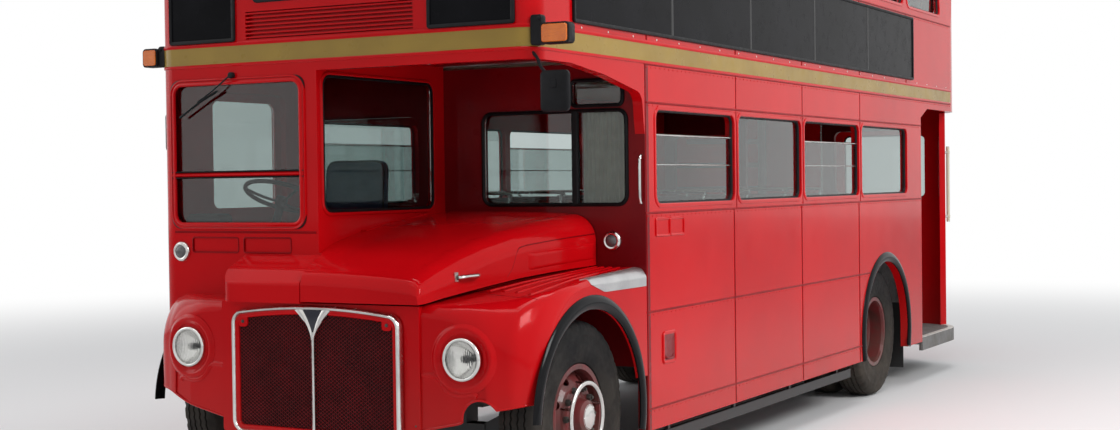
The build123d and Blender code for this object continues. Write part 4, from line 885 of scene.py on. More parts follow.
@dataclass
class RoadWheels:
    """Tyres with tread, nuts, nut rings and hub caps of the four corners."""

    tyre_radius: float = 0.510
    front_x: float = 1.035
    rear_x: tuple[float, float] = (0.720, 1.020)
    rear_middle: float = 0.870
    nuts: int = 10

    def build(self) -> None:
        """Make the pieces of all four corners."""
        for side, word in ((1, "nearside"), (-1, "offside")):
            body = f"front_{word}_roll"
            fit_piece(f"front_{word}_tread", self._tyre(side * self.front_x, FRONT_AXLE), TYRE, body,
                      [f"front_{word}_tyre"])
            fit_piece(f"front_{word}_nuts", self._nuts(side, self.front_x + 0.092, FRONT_AXLE, 0.146), IRON,
                      body)
            fit_piece(f"front_{word}_nut_ring", self._nut_ring(side), POLISHED, body)
            fit_piece(f"front_{word}_hub_cap", self._hub_cap(side, self.front_x + 0.158, FRONT_AXLE),
                      POLISHED, body)
            body = f"rear_{word}_roll"
            twins = joined([self._tyre(side * x, REAR_AXLE) for x in self.rear_x])
            fit_piece(f"rear_{word}_tread", twins, TYRE, body, [f"rear_{word}_tyre"])
            fit_piece(f"rear_{word}_nuts", self._nuts(side, self.rear_middle + 0.022, REAR_AXLE, 0.149), IRON,
                      body)
            fit_piece(f"rear_{word}_hub_cap", self._hub_cap(side, self.rear_middle + 0.148, REAR_AXLE),
                      MAROON, body)

    def _tyre(self, centre_x: float, station: float) -> Shape:
        """One tyre as r(t, s): the section's radius less the grooves that cross or circle it.

        Args:
            centre_x: X of the tyre's middle plane.
            station: Station of the axle.

        Returns:
            The closed surface.
        """
        steps = 288
        tread_half = 0.0636
        grooves = np.array([-0.058, -0.020, 0.020, 0.058])
        edges = (grooves[:, None] + np.array([-0.0055, -0.0040, 0.0040, 0.0055])).ravel()
        depths = np.tile([0.0, 0.011, 0.011, 0.0], len(grooves))
        crown = self.tyre_radius - 0.9 * edges**2
        outer = np.array([
            (-0.082, 0.2546), (-0.082, 0.277), (-0.100, 0.284), (-0.112, 0.310), (-0.1185, 0.345),
            (-0.1188, 0.347), (-0.1195, 0.385), (-0.1175, 0.425), (-0.1190, 0.428), (-0.1180, 0.434),
            (-0.1120, 0.460), (-0.1090, 0.478), (-0.1000, 0.4925), (-0.0900, 0.4990),
        ])
        left = np.column_stack([outer, np.zeros(len(outer))])
        middle = np.column_stack([edges, crown, depths])
        right = left[::-1] * [-1, 1, 1]
        section = np.concatenate([left, middle, right])
        angle = np.linspace(0, TURN, steps, endpoint=False)
        wave = 0.0035 * np.abs((angle * steps / TURN) % 4 - 2)[:, None] - 0.0035
        tread = (np.abs(section[:, 0]) < tread_half)[None]
        axial = section[None, :, 0] + wave * tread
        slot = ((angle * steps / TURN).astype(int) % 8 < 2)[:, None]
        shoulder = ((section[:, 1] > 0.470) & (np.abs(section[:, 0]) > tread_half))[None]
        radius = section[None, :, 1] - section[None, :, 2] - 0.007 * (slot & shoulder)
        points = points_at(centre_x + axial, station + radius * np.cos(angle)[:, None],
                           HUB_HEIGHT + radius * np.sin(angle)[:, None])
        return loft(points, closed=True)

    def _nuts(self, side: int, face_x: float, station: float, ring: float) -> Shape:
        """Wheel nuts with their studs, set round the hub.

        Args:
            side: 1 on the nearside, -1 on the offside.
            face_x: Distance of the nuts' foot from the middle of the bus.
            station: Station of the axle.
            ring: Radius of the ring of nuts.

        Returns:
            All of them as one shape.
        """
        nuts = []
        for back, rise in ring * circle(self.nuts):
            centre = points_at(side * face_x, station + back, HUB_HEIGHT + rise)
            nuts.append(turned([(0.0, 0.019), (0.002, 0.019), (0.018, 0.0185), (0.022, 0.016)], centre,
                               (side, 0, 0), 6))
            nuts.append(turned([(0.020, 0.009), (0.031, 0.009), (0.033, 0.007)], centre, (side, 0, 0), 10))
        return joined(nuts)

    def _nut_ring(self, side: int) -> Shape:
        """Bright guard ring in front of the wheel nuts, on five short posts."""
        centre = points_at(side * (self.front_x + 0.150), FRONT_AXLE, HUB_HEIGHT)
        section = circle(12) * (0.010, 0.013) + (0, 0.178)
        parts = [turned(section, centre, (side, 0, 0), 72, closed=True)]
        for turn in np.arange(5) * TURN / 5 + 0.3:
            offset = np.array([0, 0.176 * math.cos(turn), 0.176 * math.sin(turn)])
            parts.append(turned([(-0.066, 0.008), (0.0, 0.008)], centre + offset, (side, 0, 0), 10))
        return joined(parts)

    def _hub_cap(self, side: int, face_x: float, station: float) -> Shape:
        """Plain domed cap on the hub's end, with its bolted flange."""
        centre = points_at(side * face_x, station, HUB_HEIGHT)
        cap = turned([(-0.004, 0.066), (0.006, 0.066), (0.009, 0.058), (0.016, 0.044), (0.019, 0.03),
                      (0.0195, 0.012)], centre, (side, 0, 0), 36)
        back, rise = 0.0615 * circle(8).T
        places = points_at(side * (face_x + 0.006), station + back, HUB_HEIGHT + rise)
        return joined([cap, domes(places, (side, 0, 0), 0.0042, 0.004)])


# Nose


@dataclass(frozen=True)
class WingSkin:
    """Outer face of a front wing, from a short table of sections across the bus.

    Attributes:
        rows: X, front station, radius of the front top corner, and top heights at the front, at the
            middle station and at the bulkhead.
        middle: Station of the middle top height.
        arc_share: Height of the front corner's centre below the top, over its radius.
    """

    rows: Sequence[tuple[float, ...]] = (
        (0.6343, 0.060, 0.060, 1.131, 1.214, 1.262), (0.880, 0.068, 0.110, 1.133, 1.216, 1.262),
        (1.050, 0.098, 0.230, 1.140, 1.222, 1.260), (1.160, 0.170, 0.360, 1.160, 1.234, 1.258),
        (1.197, 0.235, 0.430, 1.168, 1.234, 1.246), (1.219, 0.320, 0.430, 1.160, 1.205, 1.212),
    )
    middle: float = 0.850
    arc_share: float = 0.9

    def values_at(self, x: np.ndarray) -> list[np.ndarray]:
        """The table's values at X, on a smooth curve through its rows."""
        table = np.array(self.rows)
        found = eased(x, table[:, 0], table[:, 1:])
        return [found[..., column] for column in range(5)]

    def front(self, x: np.ndarray, height: np.ndarray) -> np.ndarray:
        """Station of the front face: upright, then a round corner back to the top."""
        start, radius, front_top = self.values_at(x)[:3]
        rise = np.clip(height - (front_top - self.arc_share * radius), 0, 0.98 * radius)
        return start + radius - np.sqrt(radius**2 - rise**2)

    def top(self, x: np.ndarray, station: np.ndarray) -> np.ndarray:
        """Height of the top: two straight slopes, less the drop of the round front corner."""
        start, radius, front_top, middle_top, rear_top = self.values_at(x)
        level = np.maximum(station, start + radius)
        rise = np.where(
            level < self.middle,
            front_top + (middle_top - front_top) * (level - start) / (self.middle - start),
            middle_top + (rear_top - middle_top) * (level - self.middle) / (BULKHEAD - self.middle))
        ahead = np.clip(start + radius - station, 0, radius)
        return rise - (radius - np.sqrt(radius**2 - ahead**2))


WING = WingSkin()


@dataclass(frozen=True)
class BonnetSkin:
    """Outer face of the lifting bonnet, from a short table of sections.

    Attributes:
        rows: Station, flank X, lower edge, top at the seam, top at the flank, and shoulder radius.
        seam: X of the bonnet's edge at the hinge.
        crown: Rise of the top in its middle.
    """

    rows: Sequence[tuple[float, ...]] = (
        (0.008, 0.652, 1.141, 1.228, 1.190, 0.030), (0.024, 0.657, 1.142, 1.274, 1.236, 0.060),
        (0.060, 0.664, 1.145, 1.302, 1.266, 0.080), (0.180, 0.686, 1.163, 1.374, 1.318, 0.110),
        (0.360, 0.716, 1.185, 1.438, 1.382, 0.120), (0.560, 0.750, 1.208, 1.480, 1.438, 0.120),
        (0.790, 0.791, 1.233, 1.521, 1.484, 0.125), (1.100, 0.843, 1.254, 1.554, 1.524, 0.135),
        (1.463, 0.906, 1.271, 1.578, 1.556, 0.150),
    )
    seam: float = -0.075
    crown: float = 0.009

    def flank(self, station: np.ndarray) -> np.ndarray:
        """X of the flank at a station."""
        table = np.array(self.rows)
        return eased(station, table[:, 0], table[:, 1])

    def section(self, row: Sequence[float]) -> np.ndarray:
        """One section as (x, height): a crowned top, the round shoulder, and the flank."""
        _, flank, low, seam_top, flank_top, radius = row
        share = np.linspace(0, 1, 15)
        top = np.column_stack([
            self.seam + (flank - self.seam) * share,
            seam_top + (flank_top - seam_top) * share + 4 * self.crown * share * (1 - share)])
        rounded = corner_arc(np.array([top[0], (flank, flank_top), (flank, low)]), 1, radius, 15)[0]
        kept = top[top[:, 0] < rounded[0, 0] - 0.012]
        down = np.column_stack([np.full(8, flank), np.linspace(rounded[-1, 1], low, 9)[1:]])
        line = np.concatenate([kept, rounded, down])
        run = np.concatenate([[0], np.cumsum(np.linalg.norm(np.diff(line, axis=0), axis=1))])
        split = run[len(kept) + 7]
        even = np.concatenate([np.linspace(0, split, 30), np.linspace(split, run[-1], 23)[1:]])
        return np.stack([np.interp(even, run, line[:, 0]), np.interp(even, run, line[:, 1])], -1)

    def skin(self) -> Shape:
        """Smooth skin through the sections."""
        stops = [row[0] for row in self.rows]
        sections = np.stack([self.section(row) for row in self.rows])
        station = np.concatenate([np.linspace(0.0085, 0.060, 10)[:-1], np.linspace(0.060, 1.461, 60)])
        flat = eased(station, stops, sections)
        grid = points_at(flat[..., 0], station[:, None], flat[..., 1])
        return cover(grid, SKIN_PROUD, 0.004, (0.6, -0.2, 0.8))


BONNET = BonnetSkin()


@dataclass
class Nose:
    """Grille, lamps and small fittings of the bonnet and wings."""

    grille_half: float = 0.540
    grille_low: float = 0.430
    grille_high: float = 1.122
    grille_bar: float = 0.026
    lamp_x: float = 0.877
    lamp_height: float = 0.873
    lamp_station: float = 0.082
    rib_fronts: Pairs = (
        (0.671, 0.536), (0.755, 0.527), (0.846, 0.520), (0.944, 0.490), (1.069, 0.404))
    rib_rears: Sequence[float] = (0.865, 0.910, 0.955, 1.005, 1.055)
    wing_seam: Pairs = (
        (0.660, 0.535), (0.680, 0.521), (0.806, 0.442), (0.933, 0.388), (1.053, 0.341), (1.107, 0.327),
        (1.150, 0.342))
    press_line: Pairs = (
        (0.640, 0.785), (0.700, 0.787), (0.735, 0.775), (0.765, 0.735), (0.810, 0.702), (0.870, 0.695),
        (0.930, 0.703), (0.953, 0.692))
    lip_line: Pairs = ((1.050, 0.626), (1.105, 0.635), (1.160, 0.645), (1.196, 0.650))
    notch: tuple[float, float, float] = (0.965, 0.575, 0.098)
    side_lamps: Sequence[tuple[float, float, float]] = (
        (-1.054, DECK_FRONT, 1.385), (1.010, BULKHEAD, 1.410))
    side_rim: Pairs = (
        (0.0, 0.056), (0.008, 0.057), (0.017, 0.052), (0.022, 0.044), (0.020, 0.036), (0.006, 0.034),
        (0.0, 0.036))
    side_lens: Pairs = ((0.004, 0.034), (0.020, 0.034), (0.027, 0.026), (0.031, 0.010))
    tail_rim: Pairs = (
        (0.0, 0.048), (0.0155, 0.048), (0.0175, 0.0455), (0.0155, 0.0415), (0.008, 0.0405), (0.0, 0.0405))
    tail_lens: Pairs = ((0.001, 0.041), (0.010, 0.041), (0.015, 0.031), (0.0172, 0.012))

    def build(self) -> None:
        """Make the pieces of the nose."""
        fit_piece("bonnet_skin", BONNET.skin(), RED, "bonnet")
        skins = joined([self._wing_skin(True), self._wing_skin(False).mirrored()])
        fit_piece("wing_skins", skins, RED)
        fit_piece("grille_lattice", self._lattice(), MESH)
        fit_piece("grille_inner_frame", self._inner_frame(), RED)
        fit_piece("grille_surround", self._surround(), POLISHED, replaced=["grille_frame"])
        fit_piece("grille_badge_plate", self._badge_plate(), BADGE)
        fit_piece("grille_tabs", self._tabs(), RED)
        fit_piece("grille_bolts", self._bolts(), IRON)
        fit_piece("headlamp_bezels", self._bezels().both_sides(), POLISHED, replaced=["lamps"])
        fit_piece("headlamp_bowls", self._bowls().both_sides(), REFLECTOR)
        fit_piece("headlamp_lenses", self._lenses().both_sides(), LENS)
        fit_piece("headlamp_bulbs", self._bulbs().both_sides(), PLASTIC)
        fit_piece("lamp_recess_beads", self._recess_beads().both_sides(), RED)
        fit_piece("wing_lips", joined([self._lip(True), self._lip(False).mirrored()]), RED)
        fit_piece("wing_ribs", self._ribs(), RED)
        fit_piece("wing_seams", self._seams(), PANEL_SHADE_AND_SEAM_RED)
        lower, signals = ([(x, LENGTH - 0.018, height) for x in (-0.560, 0.560)] for height in (0.905, 1.050))
        fit_piece("side_lamp_bezels", self._round_lamps(self.side_lamps, self.side_rim, -1, True), POLISHED)
        fit_piece("side_lamp_lenses", self._round_lamps(self.side_lamps, self.side_lens, -1), SIDE_LENS)
        fit_piece("tail_lamp_bezels", self._round_lamps(lower + signals, self.tail_rim, 1, True), POLISHED)
        fit_piece("tail_lamp_lenses", self._round_lamps(lower, self.tail_lens, 1), TAIL)
        fit_piece("rear_signal_lenses", self._round_lamps(signals, self.tail_lens, 1), AMBER)
        fit_piece("wing_plate", self._wing_plate(), SILVER)
        fit_piece("bonnet_handle", self._handle(), POLISHED, "bonnet")
        fit_piece("bonnet_side_panel", self._side_panel(), RED, "bonnet")
        fit_piece("bonnet_panel_seam", self._panel_seam(), PANEL_SHADE_AND_SEAM_RED, "bonnet")

    def _wing_skin(self, notched: bool) -> Shape:
        """Smooth skin over a wing's round front corner and top, down to its lower edge beside the lamp.

        Each column goes up the front, round the corner's arc, whose centre lies one radius behind the
        front and below the top, and back along the top to the bulkhead.
        """
        arc_degrees = 84
        x = np.concatenate([np.linspace(0.6348, 0.985, 36), np.linspace(1.000, 1.2165, 34)])
        front, radius, front_top, middle_top, _ = WING.values_at(x)
        slope = (middle_top - front_top) / (WING.middle - front)
        centre = front_top + (slope - 1) * radius
        low = np.interp(x, (1.000, 1.050, 1.160, 1.197, 1.219), (0.606, 0.626, 0.646, 0.651, 0.656))
        if notched:
            place, height, reach = self.notch
            low = np.maximum(low, height + np.sqrt(np.clip(reach**2 - (x - place) ** 2, 0, None)))
        low = np.where(x > 1.1975, 0.905, low)
        start = np.where(x < 0.99, centre - 0.006, low + 0.002)
        up = start[:, None] + (np.maximum(centre, start) - start)[:, None] * np.linspace(0, 1, 10)[None, :-1]
        ahead = WING.front(x[:, None], up)
        end = math.radians(arc_degrees)
        angle = np.radians(np.linspace(0, arc_degrees, 18))[None]
        begin = np.maximum(np.arcsin(np.clip((start - centre) / radius, 0, 0.9)), 0)[:, None]
        angle = begin + (end - begin) * angle / end
        corner = (front + radius)[:, None] - radius[:, None] * np.cos(angle)
        crest = centre[:, None] + radius[:, None] * np.sin(angle)
        back = corner[:, -1:] + (1.466 - corner[:, -1:]) * np.linspace(0, 1, 25)[None, 1:]
        top = WING.top(x[:, None], back)
        station = np.concatenate([ahead, corner, back], 1)
        height = np.concatenate([up, crest, top], 1)
        return cover(points_at(x[:, None], station, height), SKIN_PROUD, 0.005, (0.1, -0.6, 0.8))

    def _lattice(self) -> Shape:
        """Expanded mesh: upright wires x = x0 ± a·cos(pi·z/h), neighbours meeting in turn."""
        pitch, half_wire, depth, step = 0.0135, 0.0024, 0.003, 0.0095
        inset = self.grille_bar + 0.004
        count = int(2 * (self.grille_half - inset) / pitch)
        columns = (np.arange(count) - (count - 1) / 2) * pitch
        rows = np.arange(self.grille_low + inset, self.grille_high - 0.034, step)
        swing = (pitch / 2 - half_wire * 0.6) * np.where(np.arange(len(rows)) % 2 == 0, 1, -1)
        sign = np.where(np.arange(count) % 2 == 0, 1, -1)
        middle = columns[:, None] + sign[:, None] * swing[None]
        edge = np.array([(-half_wire, 0), (0, -depth), (half_wire, 0), (0, depth)])
        rings = points_at(middle[:, :, None] + edge[:, 0], 0.0245 + edge[:, 1], rows[:, None])
        top = self.grille_high - self.grille_bar - 0.045 * (np.abs(columns) / self.grille_half) ** 2
        rings[..., 2] = np.minimum(rings[..., 2], top[:, None, None] - 0.002)
        return joined([loft(wire) for wire in rings])

    def _outline(self, inset: float) -> np.ndarray:
        """Rounded outline of the grille at an inset, as (x, height) rows."""
        half, low = self.grille_half - inset, self.grille_low + inset
        corner = 0.075 - inset
        side_top = self.grille_high - 0.030 - inset
        angle = np.linspace(0, math.pi / 2, 9)
        across, up = corner * np.cos(angle), corner * np.sin(angle)
        low_right = np.stack([half - corner + up, low + corner - across], -1)
        top_right = np.stack([half - corner + across, side_top - corner + up], -1)
        crown_x = np.linspace(half - corner, 0, 12)[1:-1]
        crown = np.stack([crown_x, side_top + 0.030 * (1 - (crown_x / (half - corner)) ** 2)], -1)
        right = np.concatenate([low_right, top_right, crown, [(0.0, side_top + 0.030)]])
        left = right[-2::-1] * [-1, 1]
        return np.concatenate([right, left])

    def _frame(self, insets: Sequence[float], depths: Sequence[float]) -> Shape:
        """Frame round the grille: the outline at each inset lies at the depth of the same place."""
        rings = np.stack([points_at(line[:, 0], depth, line[:, 1])
                          for line, depth in zip(map(self._outline, insets), depths)])
        return loft(np.swapaxes(rings, 0, 1), closed=True)

    def _inner_frame(self) -> Shape:
        """Painted lip between the polished surround and the mesh."""
        return self._frame((0.024, 0.024, 0.034, 0.044, 0.048, 0.048),
                           (0.026, 0.013, 0.011, 0.014, 0.020, 0.026))

    def _surround(self) -> Shape:
        """Rounded surround, centre bar, and two arms that spread as a power curve up to the top."""
        parts = [self._frame((0.0, 0.003, 0.010, 0.018, 0.0235, 0.026, 0.026, 0.0),
                             (0.026, 0.010, 0.002, 0.002, 0.009, 0.020, 0.040, 0.040))]
        section = [(-0.010, 0.0), (-0.008, 0.010), (0.0, 0.0145), (0.008, 0.010), (0.010, 0.0)]
        path = points_at(0.0, 0.0162, (self.grille_low + 0.010, 0.985))
        parts.append(moulding(path, (1, 0, 0), FORWARD, section))
        share = np.linspace(0, 1, 16)
        centre = 0.004 + 0.096 * share**1.7
        half = 0.006 + 0.031 * share**1.6
        height = 0.945 + (self.grille_high - 0.010 - 0.945) * share
        around = np.array([(-1.0, 0.0), (-0.9, 0.007), (-0.45, 0.012), (0.2, 0.0135), (0.8, 0.008),
                           (1.0, 0.0)])
        for side in (-1, 1):
            x = side * (centre[:, None] + half[:, None] * around[:, 0])
            parts.append(loft(points_at(x, 0.0162 - around[:, 1], height[:, None])))
        return joined(parts)

    def _badge_plate(self) -> Shape:
        """Plain three-cornered plate between the arms: its outline shrinks a little to its face."""
        outline = np.array([(-0.070, self.grille_high - 0.012), (0.070, self.grille_high - 0.012),
                            (0.060, 1.080), (0.004, 0.985), (-0.004, 0.985), (-0.060, 1.080)])
        return plate(outline, ((1.0, 0.016), (1.0, 0.011), (0.94, 0.008)))

    def _tabs(self) -> Shape:
        """Two painted tabs that hang in the top corners of the mesh."""
        parts = []
        for x, height in ((-0.463, 1.036), (0.460, 1.042)):
            loop, _ = rounded_loop((x - 0.030, x + 0.030, height - 0.036, height + 0.030), 0.018, 5)
            parts.append(plate(loop, ((1.0, 0.024), (1.0, 0.014))))
        return joined(parts)

    def _bolts(self) -> Shape:
        """Bolt heads of the tabs and two small screws low on the nose panel."""
        tabs = domes(points_at((-0.463, 0.460), 0.014, (1.028, 1.034)), FORWARD, 0.010, 0.006, 10)
        screws = domes(points_at((0.586, 0.606), 0.048, (0.500, 0.528)), FORWARD, 0.0055, 0.003, 8)
        return joined([tabs, screws])

    def _bezels(self) -> Shape:
        """Chrome rim of a headlamp with a rolled edge."""
        section = circle(14)[:, ::-1] * (0.016, 0.0105) + (0.014, 0.1005)
        return turned(section, (self.lamp_x, along(0.072), self.lamp_height), FORWARD, 56, closed=True)

    def _lamp_middle(self) -> np.ndarray:
        """Middle of a headlamp's bowl."""
        return points_at(self.lamp_x, self.lamp_station, self.lamp_height)

    def _bowls(self) -> Shape:
        """Silvered bowl behind a headlamp's lens."""
        depth = np.linspace(0, 1, 12)
        front = np.stack([0.020 - 0.055 * (1 - depth**2), 0.004 + 0.090 * depth], -1)
        back = np.array([(0.014, 0.098), (-0.045, 0.060), (-0.050, 0.006)])
        return turned(np.concatenate([front, back]), self._lamp_middle(), FORWARD, 48, closed=True)

    def _bulbs(self) -> Shape:
        """Bulb and its shield in the middle of a headlamp's bowl."""
        return turned([(-0.045, 0.012), (-0.020, 0.012), (-0.012, 0.020), (0.000, 0.020), (0.008, 0.013),
                       (0.010, 0.004)], self._lamp_middle(), FORWARD, 20)

    def _lenses(self) -> Shape:
        """Domed lens of a headlamp."""
        share = np.linspace(1, 0.06, 10)
        front = np.stack([0.030 + 0.016 * (1 - share**2), 0.093 * share], -1)
        back = np.stack([0.026 + 0.014 * (1 - share[::-1] ** 2), 0.093 * share[::-1]], -1)
        return turned(np.concatenate([back, front]), self._lamp_middle(), FORWARD, 48)

    def _on_front(self, x: np.ndarray, height: np.ndarray, half: float, proud: float,
                  closed: bool = False) -> Shape:
        """Soft bead on the wing's front: at each place the section (w·half, proud·(1 − w²)²).

        Args:
            x: X of each place of the bead's middle line.
            height: Height of each place.
            half: Half the bead's width.
            proud: How far its middle stands out.
            closed: Whether the line is a loop.

        Returns:
            The closed surface.
        """
        flat = np.column_stack([x, height])
        ahead = heading(flat, closed)
        across = np.stack([-ahead[:, 1], ahead[:, 0]], -1)
        width = np.linspace(-1, 1, 9)
        places = flat[:, None] + across[:, None] * (half * width)[None, :, None]
        lift = proud * (1 - width**2) ** 2 + 0.0004
        station = WING.front(places[..., 0], places[..., 1])
        face = points_at(places[..., 0], station - lift, places[..., 1])
        return two_faced(face, points_at(places[..., 0], station + 0.004, places[..., 1]), closed)

    def _recess_beads(self) -> Shape:
        """Pressed ring of the wing round a headlamp, and the stepped line of the panel below it."""
        x, height = (0.153 * circle(72) + (self.lamp_x, self.lamp_height)).T
        ring = self._on_front(x, height, 0.026, 0.0130, closed=True)
        line = smooth(np.array(self.press_line), 6, False)
        step = self._on_front(line[:, 0], line[:, 1], 0.014, 0.0085)
        return joined([ring, step])

    def _lip(self, notched: bool) -> Shape:
        """Rolled edge along the bottom of a wing, up round the lamp notch where it has one."""
        line = [(0.640, 0.5065), (0.750, 0.531)]
        if notched:
            x, height, radius = self.notch
            angle = np.radians(np.linspace(180, 32, 14))
            arc = np.column_stack([x + radius * np.cos(angle), height + radius * np.sin(angle)])
            line = np.concatenate([line, [(0.860, 0.5555)], arc, self.lip_line])
        else:
            line = np.concatenate([line, [(0.880, 0.560), (0.965, 0.5925)], self.lip_line])
        station = WING.front(line[:, 0], line[:, 1])
        return tube(points_at(line[:, 0], station + 0.003, line[:, 1]), 0.0065, 8, 3)

    def _ribs(self) -> Shape:
        """Raised treads along the top of the nearside wing; they spread as the bonnet does."""
        width = np.array([-0.0125, -0.0105, -0.006, 0.006, 0.0105, 0.0125])
        lift = np.array([-0.002, 0.0042, 0.0060, 0.0060, 0.0042, -0.002])
        share = np.linspace(0, 1, 22)[:, None]
        parts = []
        for (front_x, front), rear_x in zip(self.rib_fronts, self.rib_rears):
            places = front_x + (rear_x - front_x) * share + width
            station = front + (1.445 - front) * share
            parts.append(loft(points_at(places, station, WING.top(places, station) + lift)))
        return joined(parts)

    def _seams(self) -> Shape:
        """Fine joint line across the nearside wing, just ahead of its treads."""
        line = smooth(np.array(self.wing_seam), 6, False)
        return tube(points_at(line[:, 0], line[:, 1], WING.top(line[:, 0], line[:, 1])), 0.0022, 6, 1)

    @staticmethod
    def _round_lamps(centres: Sequence[Sequence[float]], section: Pairs, way: int,
                     rim: bool = False) -> Shape:
        """Round lamps that face along Y: rims of a closed section, or lenses.

        Args:
            centres: X, station and height of each lamp.
            section: Pairs of the distance out and the radius.
            way: -1 to the front, 1 to the rear.
            rim: Whether the section is a closed ring.

        Returns:
            All of them as one shape.
        """
        return joined([turned(section, points_at(*centre), (0, way, 0), 40 if rim else 32, rim)
                       for centre in centres])

    def _wing_plate(self) -> Shape:
        """Bright plate that wraps the nearside wing's top edge from its tread to the bulkhead."""
        start = 0.800
        station = np.linspace(start, 1.462, 24)
        share = np.linspace(0, 1, 10)
        across = np.array([1.148, 1.162, 1.176, 1.190, 1.202, 1.211, 1.2175])
        low = 1.205 - 0.047 * np.clip((station - start) / 0.150, 0, 1)
        top = WING.top(across, station[:, None])
        brow = np.minimum(top[:, -1:], 1.22)
        height = np.concatenate([top, brow + (low[:, None] - brow) * share[None, 1:]], 1)
        x = np.concatenate([across, np.full(9, HALF_WIDTH)])
        out = np.array([0.0, 0.0, 0.1, 0.3, 0.5, 0.7, 0.9] + [1.0] * 9)
        up = np.sqrt(1 - out**2)
        return two_faced(points_at(x + 0.0032 * out, station[:, None], height + 0.0032 * up),
                         points_at(x - 0.002 * out, station[:, None], height - 0.002 * up))

    def _handle(self) -> Shape:
        """Lever that holds the bonnet's nearside down, on a small plate."""
        station = np.array([0.302, 0.314, 0.345, 0.380, 0.415, 0.436, 0.446])
        height = np.array([1.262, 1.263, 1.265, 1.266, 1.267, 1.268, 1.268])
        reach = np.array([0.006, 0.018, 0.0245, 0.026, 0.0245, 0.018, 0.006])
        grip = tube(points_at(BONNET.flank(station) + reach, station, height), 0.0125, 12, 4)
        stem = tube(points_at(BONNET.flank(0.374) + np.array([-0.004, 0.020]), 0.374, 1.2655), 0.009)
        foot = blocks([(BONNET.flank(0.290) - 0.004, along(0.278), 1.243)],
                      [(BONNET.flank(0.290) + 0.0035, along(0.306), 1.291)])
        return joined([grip, stem, foot])

    def _panel_lines(self, station: np.ndarray) -> tuple[np.ndarray, np.ndarray]:
        """Lower and upper edge heights of the flank's raised panel."""
        share = (station - 0.860) / 0.600
        return 1.272 + 0.036 * share, 1.362 + 0.038 * share

    def _side_panel(self) -> Shape:
        """Raised panel on the flank: thickness falls to nothing at its rounded rim."""
        across = np.linspace(0, 1, 40)
        up = np.linspace(0, 1, 14)
        station = 0.862 + (1.452 - 0.862) * across
        low, high = self._panel_lines(station)
        height = low[:, None] + (high - low)[:, None] * up[None]
        rim = np.minimum(np.minimum(across, 1 - across)[:, None] * 8.0, np.minimum(up, 1 - up)[None] * 5.0)
        lift = 0.0075 * np.clip(rim * 1.6, 0, 1) ** 0.5
        flank = BONNET.flank(station)[:, None]
        return two_faced(points_at(flank + lift, station[:, None], height),
                         points_at(flank - 0.003, station[:, None], height))

    def _panel_seam(self) -> Shape:
        """Fine joint line of the removable flank, rising behind its front edge."""
        flat = np.array([(0.690, 1.245), (0.732, 1.290), (0.780, 1.384), (0.830, 1.404), (0.900, 1.412),
                         (1.100, 1.428), (1.280, 1.440), (1.458, 1.450)])
        line = smooth(flat, 6, False)
        return tube(points_at(BONNET.flank(line[:, 0]) - 0.0008, line[:, 0], line[:, 1]), 0.0022, 6, 1)


# Windows


